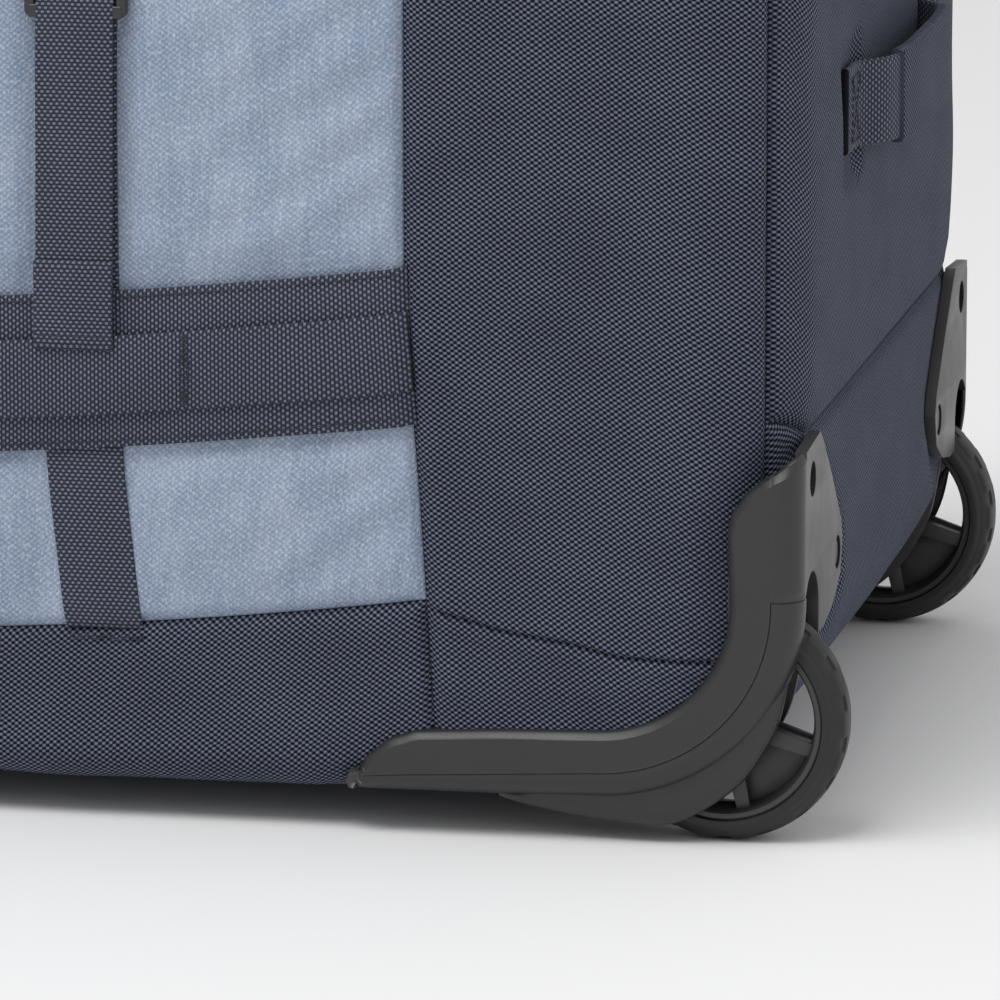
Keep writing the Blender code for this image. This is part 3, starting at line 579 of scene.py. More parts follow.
def solid_prism(builder, outline, axis, low, high):
    """Adds a closed prism to a bmesh and returns its new vertices."""
    place = {"X": lambda a, b, c: (c, a, b), "Y": lambda a, b, c: (a, c, b), "Z": lambda a, b, c: (a, b, c)}[axis]
    ends = [[builder.verts.new(place(a, b, c)) for a, b in outline] for c in (low, high)]
    for ring in ends:
        builder.faces.new(ring)
    count = len(outline)
    for i in range(count):
        j = (i + 1) % count
        builder.faces.new((ends[0][i], ends[0][j], ends[1][j], ends[1][i]))
    return ends[0] + ends[1]


def mesh_from(builder, name, places=True):
    """Closes a bmesh into a mesh with level metres as its cloth coordinates."""
    bmesh.ops.recalc_face_normals(builder, faces=builder.faces)
    if places:
        layer = builder.loops.layers.uv.new("cloth")
        for face in builder.faces:
            for loop in face.loops:
                loop[layer].uv = (loop.vert.co.x + loop.vert.co.y, loop.vert.co.z)
    mesh = bpy.data.meshes.new(name)
    builder.to_mesh(mesh)
    builder.free()
    return mesh


def built_piece(builder, name, *finishes, smooth=True):
    return new_piece(name, mesh_from(builder, name), *finishes, smooth=smooth)


def round_edges(builder, width, segments=3, least=30):
    """Rounds the sharp edges of everything in a bmesh."""
    bmesh.ops.recalc_face_normals(builder, faces=builder.faces)
    limit = math.radians(least)
    edges = [e for e in builder.edges if len(e.link_faces) == 2 and e.calc_face_angle(0) > limit]
    bmesh.ops.bevel(builder, geom=edges, offset=width, segments=segments, profile=0.5, affect="EDGES",
                    clamp_overlap=True)


def arc(centre, radius, start, end, step=6):
    steps = max(1, round(abs(end - start) / step))
    angles = [math.radians(start + (end - start) * k / steps) for k in range(steps + 1)]
    return [(centre[0] + radius * math.cos(t), centre[1] + radius * math.sin(t)) for t in angles]


def rounded_rectangle(low, high, radius, step=15):
    (a0, b0), (a1, b1) = low, high
    points = []
    for a, b, start in ((a1 - radius, b0 + radius, -90), (a1 - radius, b1 - radius, 0),
                        (a0 + radius, b1 - radius, 90), (a0 + radius, b0 + radius, 180)):
        points += arc((a, b), radius, start, start + 90, step)
    return points


def ribbon(name, path, across, width, thickness, finish_word="webbing"):
    """A length of webbing with rounded edges along a path, closed at its ends."""
    path = np.array(path, float)
    across = np.broadcast_to(np.array(across, float), path.shape)
    tangent = np.gradient(path, axis=0)
    tangent /= np.linalg.norm(tangent, axis=1, keepdims=True)
    normal = np.cross(tangent, across)
    normal /= np.linalg.norm(normal, axis=1, keepdims=True)
    half, thick = width / 2, thickness / 2
    edge = min(thick, 0.0012)
    section = [(-half, 0.0), (-half + 0.3 * edge, 0.7 * thick), (-half + edge, thick), (0.0, thick),
               (half - edge, thick), (half - 0.3 * edge, 0.7 * thick), (half, 0.0),
               (half - 0.3 * edge, -0.7 * thick), (half - edge, -thick), (0.0, -thick), (-half + edge, -thick),
               (-half + 0.3 * edge, -0.7 * thick), (-half, 0.0)]
    points = np.array([path + across * a + normal * b for a, b in section]).transpose(1, 0, 2)
    run = lengths(path, 0)
    places = np.zeros((*points.shape[:2], 2))
    places[..., 0] = run[:, None]
    places[..., 1] = np.array([a for a, _ in section])[None, :]
    mesh = grid_mesh(name, points, places)
    builder = bmesh.new()
    builder.from_mesh(mesh)
    builder.verts.ensure_lookup_table()
    count = len(section)
    last = len(path) - 1
    for row in (0, last):
        ring = [builder.verts[row * count + k] for k in range(count - 1)]
        builder.faces.new(ring)
    bmesh.ops.remove_doubles(builder, verts=builder.verts, dist=1e-6)
    bmesh.ops.recalc_face_normals(builder, faces=builder.faces)
    builder.to_mesh(mesh)
    builder.free()
    return new_piece(name, mesh, finish_word)


def bend(points, pitch=0.002):
    """A smooth path through a few points."""
    points = [np.array(p, float) for p in points]
    padded = [2 * points[0] - points[1], *points, 2 * points[-1] - points[-2]]
    path = []
    for before, start, end, after in zip(padded, padded[1:], padded[2:], padded[3:]):
        count = max(2, round(np.linalg.norm(end - start) / pitch))
        for k in range(count):
            t = k / count
            path.append(0.5 * (2 * start + (end - before) * t + (2 * before - 5 * start + 4 * end - after) * t ** 2
                               + (3 * start - before - 3 * end + after) * t ** 3))
    return np.array(path + [points[-1]])


def stitches(name, rows, body="bag", slot="navy_webbing", radius=None, gap=0.75):
    """Sewing thread: each row is (path, outward), one raised stitch after another along it."""
    webbing = bpy.context.scene.duffel_webbing
    radius = radius or webbing.thread_radius
    pitch = webbing.stitch
    ring = [(math.cos(t), math.sin(t)) for t in np.linspace(0, 2 * math.pi, 7)[:-1]]
    stations = ((-1.0, 0.35), (-0.72, 0.85), (0.0, 1.15), (0.72, 0.85), (1.0, 0.35))
    vertices, faces = [], []
    for path, outward in rows:
        path = np.array(path, float)
        outward = np.broadcast_to(np.array(outward, float), path.shape)
        run = lengths(path, 0)
        count = max(1, round(run[-1] / pitch))
        middles = (np.arange(count) + 0.5) * run[-1] / count
        centre = np.stack([np.interp(middles, run, path[:, k]) for k in range(3)], 1)
        ahead = np.stack([np.interp(middles + pitch * 0.2, run, path[:, k]) for k in range(3)], 1)
        behind = np.stack([np.interp(middles - pitch * 0.2, run, path[:, k]) for k in range(3)], 1)
        out = np.stack([np.interp(middles, run, outward[:, k]) for k in range(3)], 1)
        tangent = ahead - behind
        tangent /= np.maximum(np.linalg.norm(tangent, axis=1, keepdims=True), 1e-12)
        cross = np.cross(tangent, out)
        half = 0.5 * gap * run[-1] / count
        for c, t, n, s in zip(centre, tangent, out, cross):
            first = len(vertices)
            for place, width in stations:
                middle = c + t * place * half + n * radius * 0.3
                vertices += [tuple(middle + (n * a + s * b) * radius * width) for a, b in ring]
            for k in range(len(stations) - 1):
                for m in range(6):
                    one, two = first + k * 6 + m, first + k * 6 + (m + 1) % 6
                    faces.append((one, two, two + 6, one + 6))
            faces.append(tuple(first + m for m in range(6)))
            faces.append(tuple(first + 24 + m for m in range(6)))
    mesh = bpy.data.meshes.new(name)
    mesh.from_pydata(vertices, [], faces)
    return place_piece(new_piece(name, mesh, "thread"), slot, body=body)


def cad_finish(node, word):
    """Gives one of the frame's own nodes its finish."""
    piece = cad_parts[node]
    for place in piece.material_slots:
        place.link = "OBJECT"
        place.material = finish(word)


# ---------------------------------------------------------------- the bag's form

def edge_drop(distance, radius):
    """How far a rounded edge has fallen back, at a distance from where the face would end."""
    short = np.clip(radius - distance, 0, radius)
    return radius - np.sqrt(np.maximum(radius * radius - short * short, 0))


def half_width(z):
    z = np.asarray(z, float)
    return BODY_Y - edge_drop(z - BODY_BOTTOM, SIDE_BOTTOM_RADIUS) - edge_drop(BODY_TOP - z, SIDE_TOP_RADIUS)


def end_reach(z, end):
    z = np.asarray(z, float)
    return BODY_X - edge_drop(z - BODY_BOTTOM, END_BOTTOM_RADIUS[end]) - edge_drop(BODY_TOP - z, END_TOP_RADIUS)


def seam_x(z):
    return np.interp(z, SEAM_HEIGHTS, SEAM_REACHES)


def smile(z0, x):
    return z0 + SMILE * np.square(x)


def end_seam_z(y):
    """The seam across the wheel end, which climbs to the upright corners."""
    return END_SEAM_Z + 0.007 * smooth_step(np.abs(y), 0.138, 0.164)


def round_corner(end, side, z, run):
    """Points at height z, run along the cloth past the start of an upright corner."""
    reach, half = end_reach(z, end), half_width(z)
    angle = np.clip(run / PLAN_RADIUS, 0, math.pi / 2)
    x = reach - PLAN_RADIUS + np.minimum(run, 0) + PLAN_RADIUS * np.sin(angle)
    y = half - PLAN_RADIUS * (1 - np.cos(angle))
    return np.stack(np.broadcast_arrays(end * x, side * y, z), -1)


def guard_side_outline():
    """The corner guard's inner edge and everything it covers, seen from the side."""
    inner = [(0.2232, 0.0164), (0.2285, 0.0250), (0.2355, 0.0310), (0.2445, 0.0342), (0.2715, 0.0358)]
    inner += arc(CORNER, INNER_RADIUS, -90, 0)
    inner += [(0.3437, 0.1020), (0.3450, 0.1080), (0.3490, 0.1140), (0.3550, 0.1190), (0.3605, 0.1225)]
    return inner + [(0.40, 0.1240), (0.40, -0.02), (0.2232, -0.02)]


def clear_of_guard_side(x, z):
    """From 0 under the corner guard to 1 well clear of it, on the sides."""
    return smooth_step(outline_distance(x, z, guard_side_outline()), 0.001, 0.014)


def clear_of_guard_end(y, z):
    outline = [(0.30, 0.1268), (0.1705, 0.1268), *FLANGE_OUTLINE, (0.1455, -0.05), (0.30, -0.05)]
    return smooth_step(outline_distance(np.abs(y), z, outline), 0.001, 0.012)


def clear_of_box(a, b, middle_a, middle_b, half_a, half_b, reach):
    distance = np.hypot(np.maximum(np.abs(a - middle_a) - half_a, 0), np.maximum(np.abs(b - middle_b) - half_b, 0))
    return smooth_step(distance, 0.0, reach)


def cloth_panel(name, base, outward, finish_word, slot, nodes, bulge, keep=None, edge=None, line=None):
    """A sewn panel: a grid on the bag's form, bulged between its seams and tucked in along them."""
    cloth = bpy.context.scene.duffel_cloth
    along, across = lengths(base, 1), lengths(base, 0)
    closed = np.allclose(base[:, 0], base[:, -1])
    normals = grid_normals(base)
    if closed:
        along = np.broadcast_to(along[len(along) // 2], along.shape)
        normals = grid_normals(np.concatenate((base[:, -4:-1], base, base[:, 1:4]), 1))[:, 3:-3]
    facing = np.einsum("ijk,ijk->ij", normals, outward if outward.ndim == 3 else np.broadcast_to(outward, base.shape))
    if facing.mean() < 0:
        normals = -normals
    if edge is None:
        edge = np.minimum(np.minimum(along, along[:, -1:] - along), np.minimum(across, across[-1:, :] - across))
    swell = 1 - np.exp(-edge / 0.0045)
    sunk = cloth.tuck * np.exp(-np.square(edge / 0.0019))
    rise = bulge(base, edge) * swell - sunk
    if line is not None:
        rise = rise + line
    points = base + normals * rise[..., None]
    places = np.stack((along, across), -1)
    mesh = grid_mesh(name, points, places, keep)
    if closed:
        builder = bmesh.new()
        builder.from_mesh(mesh)
        bmesh.ops.remove_doubles(builder, verts=builder.verts, dist=1e-6)
        builder.to_mesh(mesh)
        builder.free()
    piece = new_piece(name, mesh, finish_word, "lining")
    shell = piece.modifiers.new("backing", "SOLIDIFY")
    shell.thickness = cloth.thickness
    shell.offset = -1.0 if facing.mean() > 0 else 1.0
    shell.material_offset = 1
    if facing.mean() < 0:
        mesh.flip_normals()
        shell.offset = -1.0
    place_piece(piece, slot, *nodes)
    return piece


def side_panel_grid(side):
    u = np.concatenate((-stops(0.24, 0.0024)[:0:-1], stops(0.24, 0.0024)))
    v = stops(0.21, 0.0024)
    u, v = np.meshgrid(u, v)
    x = u * SEAM_REACHES[-1]
    for _ in range(3):
        low = smile(BAND_SEAM_Z, x)
        z = low + (TOP_SEAM_Z - low) * v
        x = u * seam_x(z)
    return np.stack((x, side * half_width(z), z), -1)


def side_bulge(base, edge):
    """Puffs between the webbing and the straps, with folds that run in from the upright seams."""
    cloth = bpy.context.scene.duffel_cloth
    x, z = base[..., 0], base[..., 2]
    clear = clear_of_box(z - SMILE * x * x, x, WIDE_Z, 0, WIDE / 2, 1.0, 0.014)
    for end in ENDS.values():
        clear = clear * clear_of_box(x, z, end * STRAP_X, 0.16, 0.0125, 0.11, 0.010)
        clear = clear * clear_of_box(x, z, end * 0.0875, 0.274, 0.014, 0.012, 0.012)
    reach = seam_x(z) - np.abs(x)
    slope = z - 0.62 * (np.abs(x) - 0.24)
    folds = np.sin(slope * 2 * math.pi / 0.021 + 0.8 * ripple(x, z, 5, 0.05)) * np.exp(-reach / 0.050)
    wide_folds = 0.8 * ripple(x, z + 0.25 * x, 11, 0.060)
    shape = clear * (cloth.puff * (0.55 + 0.45 * smooth_step(edge, 0.004, 0.030)) + cloth.pucker * wide_folds)
    return shape + cloth.pucker * 1.5 * folds * (0.35 + 0.65 * clear) * smooth_step(edge, 0.001, 0.010)


def wrap_grid(end, side):
    """The dark cloth round an upright corner, from the side seam to the corner seam."""
    low = 0.022 if end > 0 else 0.0165
    z = low + (TOP_SEAM_Z - low) * stops(TOP_SEAM_Z - low, 0.0024)
    z = np.sort(np.concatenate((z, WRAP_LINE_ROWS if end > 0 else z[:0])))
    share = stops(0.125, 0.0024)
    share, z = np.meshgrid(share, z)
    start = seam_x(z) - (end_reach(z, end) - PLAN_RADIUS)
    run = start + (PLAN_RADIUS * CORNER_SEAM - start) * share
    return round_corner(end, side, z, run)


WRAP_LINE = ((0.2485, 0.0740), (0.2705, 0.0680), (0.2925, 0.0650), (0.3095, 0.0610), (0.3245, 0.0605),
             (0.3700, 0.0590))
WRAP_LINE_ROWS = np.linspace(0.0555, 0.0765, 46)


def wrap_seam(base):
    """The sewn line low down on the wheel-end corner cloth: a fold with a soft lip under it."""
    x, z = np.abs(base[..., 0]), base[..., 2]
    height = z - np.interp(x, *zip(*WRAP_LINE))
    fade = smooth_step(x, 0.2470, 0.2530)
    fold = 0.0007 * smooth_step(height, -0.0001, 0.0006) * np.exp(-np.clip(height, 0, 1) / 0.006)
    groove = -0.0016 * np.exp(-np.square((height + 0.0004) / 0.00075))
    lip = 0.0005 * np.exp(-np.square((height + 0.0042) / 0.0026))
    return (fold + groove + lip) * fade


def wrap_bulge(end):
    def bulge(base, edge):
        cloth = bpy.context.scene.duffel_cloth
        x, z = np.abs(base[..., 0]), base[..., 2]
        clear = clear_of_guard_side(x, z) if end > 0 else 1.0
        soft = ripple(x * 1.4, z * 0.7, 21 + end, 0.070)
        ridge = 0.0013 * np.exp(-np.square((edge - 0.006) / 0.0045)) * (0.8 + 0.5 * ripple(z, z * 0, 33, 0.05))
        return clear * (0.55 * cloth.puff + cloth.pucker * soft + ridge)
    return bulge


PANEL_HALF = 0.172
WHEEL_GAP = 0.1434
WHEEL_WELL_TOP = 0.0868
UNDERSIDE = 0.02
WHEEL_END_TURN, WHEEL_END_TURN_RADIUS = (0.3035, 0.073), 0.060
HANDLE_END_TURN, HANDLE_END_TURN_RADIUS = (0.3485, 0.028), 0.015


def end_run(pitch=0.0034):
    """Distances along the cloth of an end face, from its middle to the corner seam on each side."""
    half = BODY_Y - PLAN_RADIUS
    side_run = half + PLAN_RADIUS * (math.pi / 2 - CORNER_SEAM)
    return side_run * (2 * stops(2 * side_run, pitch) - 1)


def turned_up(start, length, pitch, centre, radius, count):
    """The line of an end panel's cloth, in x and z: along under the bag, then round its lower edge."""
    under = [(x, BODY_BOTTOM) for x in start + length * stops(length, pitch)]
    return under + [(centre[0] + radius * math.sin(t), centre[1] - radius * math.cos(t))
                    for t in np.linspace(0, math.pi / 2, count)[1:]]


def level_rows(profile, end, run):
    y = np.clip(run, -PANEL_HALF, PANEL_HALF)
    return [np.stack((np.full_like(run, end * x), y, np.full_like(run, z)), -1) for x, z in profile]


def end_points(end, run, z):
    """Points on an end face: run is from the middle, along the cloth and round the corners."""
    half = half_width(z) - PLAN_RADIUS
    over = np.maximum(np.abs(run) - half, 0)
    angle = over / PLAN_RADIUS
    y = np.sign(run) * (np.minimum(np.abs(run), half) + PLAN_RADIUS * np.sin(angle))
    x = end_reach(z, end) - PLAN_RADIUS * (1 - np.cos(angle))
    return np.stack((end * x, y, z), -1)


def end_bulge(end, seed, guard=True):
    def bulge(base, edge):
        cloth = bpy.context.scene.duffel_cloth
        y, z = base[..., 1], base[..., 2]
        clear = clear_of_guard_end(y, z) if guard else 1.0
        clear = clear * clear_of_box(y, z, 0.080, 0.220, 0.012, 0.018, 0.010)
        clear = clear * clear_of_box(y, z, -0.080, 0.220, 0.012, 0.018, 0.010)
        if end < 0:
            clear = clear * clear_of_box(y, z, 0, 0.037, 0.108, 0.026, 0.012)
        soft = ripple(y * 0.6, z * 1.2, seed, 0.085)
        crown = smooth_step(edge, 0.0, 0.075)
        return clear * (0.5 * cloth.puff + 0.0022 * crown + cloth.pucker * soft)
    return bulge


def make_end_panels():
    """Two panels on the wheel end, the lower one cut out round the wheels, and one on the handle end."""
    run = end_run()
    low = end_seam_z(np.clip(run, -BODY_Y, BODY_Y))
    share, across = np.meshgrid(stops(0.15, 0.003), run, indexing="ij")
    z = low[None, :] + (TOP_SEAM_Z - low[None, :]) * share
    base = end_points(1, across, z)
    cloth_panel("wheel_end_panel_upper_cloth", base, np.array((1.0, 0, 0)), "navy", "navy_fabric",
                ("wheel_end_panel_upper",), end_bulge(1, 41))

    run = np.sort(np.concatenate((run, (-WHEEL_GAP, WHEEL_GAP, -WHEEL_GAP - 0.0004, WHEEL_GAP + 0.0004))))
    low = end_seam_z(np.clip(run, -BODY_Y, BODY_Y))
    turn_z = WHEEL_END_TURN[1]
    profile = turned_up(0.2514, 0.0521, 0.004, WHEEL_END_TURN, WHEEL_END_TURN_RADIUS, 30)
    rows = level_rows(profile, 1, run)
    rows += [end_points(1, run, turn_z + (low - turn_z) * share) for share in stops(0.054, 0.003)[1:]]
    base = np.array(rows)
    for row in range(len(profile)):
        straight = np.abs(base[row, :, 1]) <= WHEEL_GAP
        base[row, ~straight, 0] = base[row, :, 0].min()
    keep = (np.abs(base[..., 1]) <= WHEEL_GAP + 1e-6) | (base[..., 2] > WHEEL_WELL_TOP)
    outward = np.where((base[..., 2:3] < UNDERSIDE), np.array((0, 0, -1.0)), np.array((1.0, 0, 0)))
    cloth_panel("wheel_end_panel_lower_cloth", base, outward, "navy", "navy_fabric", ("wheel_end_panel_lower",),
                end_bulge(1, 43), keep=keep)

    run = end_run()
    turn_z = HANDLE_END_TURN[1]
    rows = level_rows(turned_up(0.2506, 0.0979, 0.006, HANDLE_END_TURN, HANDLE_END_TURN_RADIUS, 12)[:-1], -1, run)
    for share in stops(0.257, 0.0034):
        rows.append(end_points(-1, run, np.full_like(run, turn_z + (TOP_SEAM_Z - turn_z) * share)))
    base = np.array(rows)
    outward = np.where((base[..., 2:3] < UNDERSIDE), np.array((0, 0, -1.0)), np.array((-1.0, 0, 0)))
    cloth_panel("handle_end_panel_cloth", base, outward, "navy", "navy_fabric", ("handle_end_panel",),
                end_bulge(-1, 47, guard=False))


def make_base_tub():
    """The dark band low on both sides and the cloth under the bag, in one piece."""
    share_x = np.concatenate((-stops(0.252, 0.004)[:0:-1], stops(0.252, 0.004)))
    bottom_half = BODY_Y - SIDE_BOTTOM_RADIUS
    corner = BODY_BOTTOM + SIDE_BOTTOM_RADIUS
    side_share = stops(0.045, 0.0022)
    rows = []
    for side in (-1, 1):
        part = []
        for share in 1 - side_share:
            x = share_x * 0.2500
            for _ in range(3):
                z = corner + (smile(BAND_SEAM_Z, x) - corner) * share
                x = share_x * seam_x(z)
            part.append(np.stack((x, side * np.full_like(x, BODY_Y), z), -1))
        for t in np.linspace(0, math.pi / 2, 8)[1:-1]:
            y = bottom_half + SIDE_BOTTOM_RADIUS * math.cos(t)
            z = corner - SIDE_BOTTOM_RADIUS * math.sin(t)
            x = share_x * seam_x(z)
            part.append(np.stack((x, np.full_like(x, side * y), np.full_like(x, z)), -1))
        rows.append(part)
    x = share_x * seam_x(BODY_BOTTOM)
    under = [np.stack((x, np.full_like(x, y), np.full_like(x, BODY_BOTTOM)), -1)
             for y in np.linspace(-bottom_half, bottom_half, 60)]
    base = np.array(rows[0] + under + rows[1][::-1])
    low = base[..., 2] < UNDERSIDE
    outward = np.stack((0 * base[..., 0], np.sign(base[..., 1]) * (base[..., 2] > UNDERSIDE), -1.0 * low), -1)

    def bulge(points, edge):
        cloth = bpy.context.scene.duffel_cloth
        px, pz = points[..., 0], points[..., 2]
        clear = clear_of_guard_side(px, pz) * (pz > BODY_BOTTOM + 0.001) + 0.25 * (pz <= BODY_BOTTOM + 0.001)
        soft = ripple(px, pz + points[..., 1] * 0.3, 61, 0.080)
        return clear * (0.5 * cloth.puff + cloth.pucker * soft)

    cloth_panel("base_tub_cloth", base, outward, "navy", "navy_fabric", ("base_tub",), bulge)


LONG_COUNT, CORNER_COUNT, SHORT_COUNT = 60, 14, 40


def ring_outline(low_x, high_x, half, low_radius, high_radius):
    """Points of a rounded rectangle, the same number whatever its size, from the middle of its high end."""
    points = []

    def line(a, b, count):
        points.extend(np.linspace(a, b, count, endpoint=False))

    def corner(centre, radius, start):
        for t in np.linspace(start, start + 90, CORNER_COUNT, endpoint=False):
            angle = math.radians(t)
            points.append(np.array((centre[0] + radius * math.cos(angle), centre[1] + radius * math.sin(angle))))

    line((high_x, 0), (high_x, half - high_radius), SHORT_COUNT // 2)
    corner((high_x - high_radius, half - high_radius), high_radius, 0)
    line((high_x - high_radius, half), (low_x + low_radius, half), LONG_COUNT)
    corner((low_x + low_radius, half - low_radius), low_radius, 90)
    line((low_x, half - low_radius), (low_x, low_radius - half), SHORT_COUNT)
    corner((low_x + low_radius, low_radius - half), low_radius, 180)
    line((low_x + low_radius, -half), (high_x - high_radius, -half), LONG_COUNT)
    corner((high_x - high_radius, high_radius - half), high_radius, 270)
    line((high_x, high_radius - half), (high_x, 0), SHORT_COUNT // 2)
    points.append(points[0])
    return np.array([tuple(p) for p in points])


LID_LOW_X, LID_HIGH_X, LID_HALF, LID_RADIUS = -0.3150, 0.3000, 0.1280, 0.040


def make_top_frame():
    """The dark shoulders of the bag, from the top seam up and over to the zip."""
    rings = []
    height = BODY_TOP - TOP_SEAM_Z
    shoulder = [0.0, 0.012, 0.03, 0.05, 0.08, *np.linspace(0.12, 1.0, 22)]
    for share in shoulder:
        z = TOP_SEAM_Z + height * math.sin(share * math.pi / 2)
        flat = ring_outline(-end_reach(z, -1), end_reach(z, 1), half_width(z), PLAN_RADIUS, PLAN_RADIUS)
        rings.append(np.column_stack((flat, np.full(len(flat), z))))
    outer = rings[-1]
    inner = ring_outline(LID_LOW_X, LID_HIGH_X, LID_HALF, LID_RADIUS, 0.004)
    for share in (0.2, 0.4, 0.6, 0.8, 0.9, 0.96, 1.0):
        flat = outer[:, :2] * (1 - share) + inner * share
        rings.append(np.column_stack((flat, np.full(len(flat), BODY_TOP - 0.0004 * share))))
    base = np.array(rings)
    across = lengths(base, 0)
    edge = np.minimum(across, across[-1:, :] - across)

    def bulge(points, border):
        cloth = bpy.context.scene.duffel_cloth
        x, y, z = points[..., 0], points[..., 1], points[..., 2]
        soft = ripple(x + y, z * 1.5 + y * 0.4 - x * 0.3, 71, 0.075)
        wrinkle = np.sin((x - y) * 2 * math.pi / 0.030 + 2 * soft) * smooth_step(np.abs(y), 0.12, 0.17)
        low = np.exp(-np.square((z - 0.300) / 0.012))
        return 0.0016 * smooth_step(border, 0.0, 0.02) + cloth.pucker * (1.1 * soft + 0.5 * wrinkle * low)

    outward = np.stack((base[..., 0] * 0.2, base[..., 1] * 0.2, np.full(base.shape[:2], 0.2)), -1)
    cloth_panel("top_frame_cloth", base, outward, "navy", "navy_fabric", ("top_frame",), bulge, edge=edge)


def make_lid():
    """The light blue lid: a crowned panel with a bound edge, hinged on its cloth at the wheel end."""
    inset = 0.0038
    low, high = LID_LOW_X + inset, LID_HIGH_X - 0.0012
    half, radius = LID_HALF - inset, LID_RADIUS - inset
    x = low + (high - low) * stops(high - low, 0.0040)
    share = 2 * stops(2 * half, 0.0040) - 1
    x, share = np.meshgrid(x, share, indexing="ij")
    into = np.clip(low + radius - x, 0, radius)
    y = share * (half - (radius - np.sqrt(np.maximum(radius ** 2 - into ** 2, 0))))
    z = np.full_like(x, BODY_TOP)
    base = np.stack((x, y, z), -1)

    def bulge(points, edge):
        cloth = bpy.context.scene.duffel_cloth
        px, py = points[..., 0], points[..., 1]
        middle = (low + high) / 2
        crown = (1 - np.square((px - middle) / (high - middle + 0.01))) * (1 - np.square(py / (half + 0.004)))
        soft = ripple(px, py, 81, 0.11)
        folds = np.sin((px + 0.5 * np.abs(py)) * 2 * math.pi / 0.027 + 2 * soft) * np.exp(-edge / 0.030)
        return 0.0045 * np.clip(crown, 0, 1) + cloth.pucker * (soft + 0.8 * folds) + 0.0007

    piece = cloth_panel("lid_cloth", base, np.array((0, 0, 1.0)), "heather", "heather_fabric", (), bulge)
    piece.parent = None
    place_piece(piece, "heather_fabric", "lid", body="lid")
    rim = rim_path(low + 0.0035, high - 0.010, half - 0.0035, radius - 0.0035)
    up = np.array((0, 0, 1.0))
    path = np.column_stack((rim, np.full(len(rim), BODY_TOP + 0.0016)))
    stitches("lid_stitching", [(path, up)], body="lid", slot="navy_webbing")


def rim_path(low, high, half, radius, step=0.002):
    """From the hinge end along one side, round the handle end and back along the other side."""
    corner = [(low + radius - radius * math.sin(t), half - radius + radius * math.cos(t))
              for t in np.linspace(0, math.pi / 2, 24)]
    straight = [(x, half) for x in np.arange(high, low + radius, -step)]
    one = straight + corner
    middle = [(low, y) for y in np.arange(half - radius, 0, -step)]
    first = one + middle
    return np.array(first + [(x, -y) for x, y in reversed(first)])


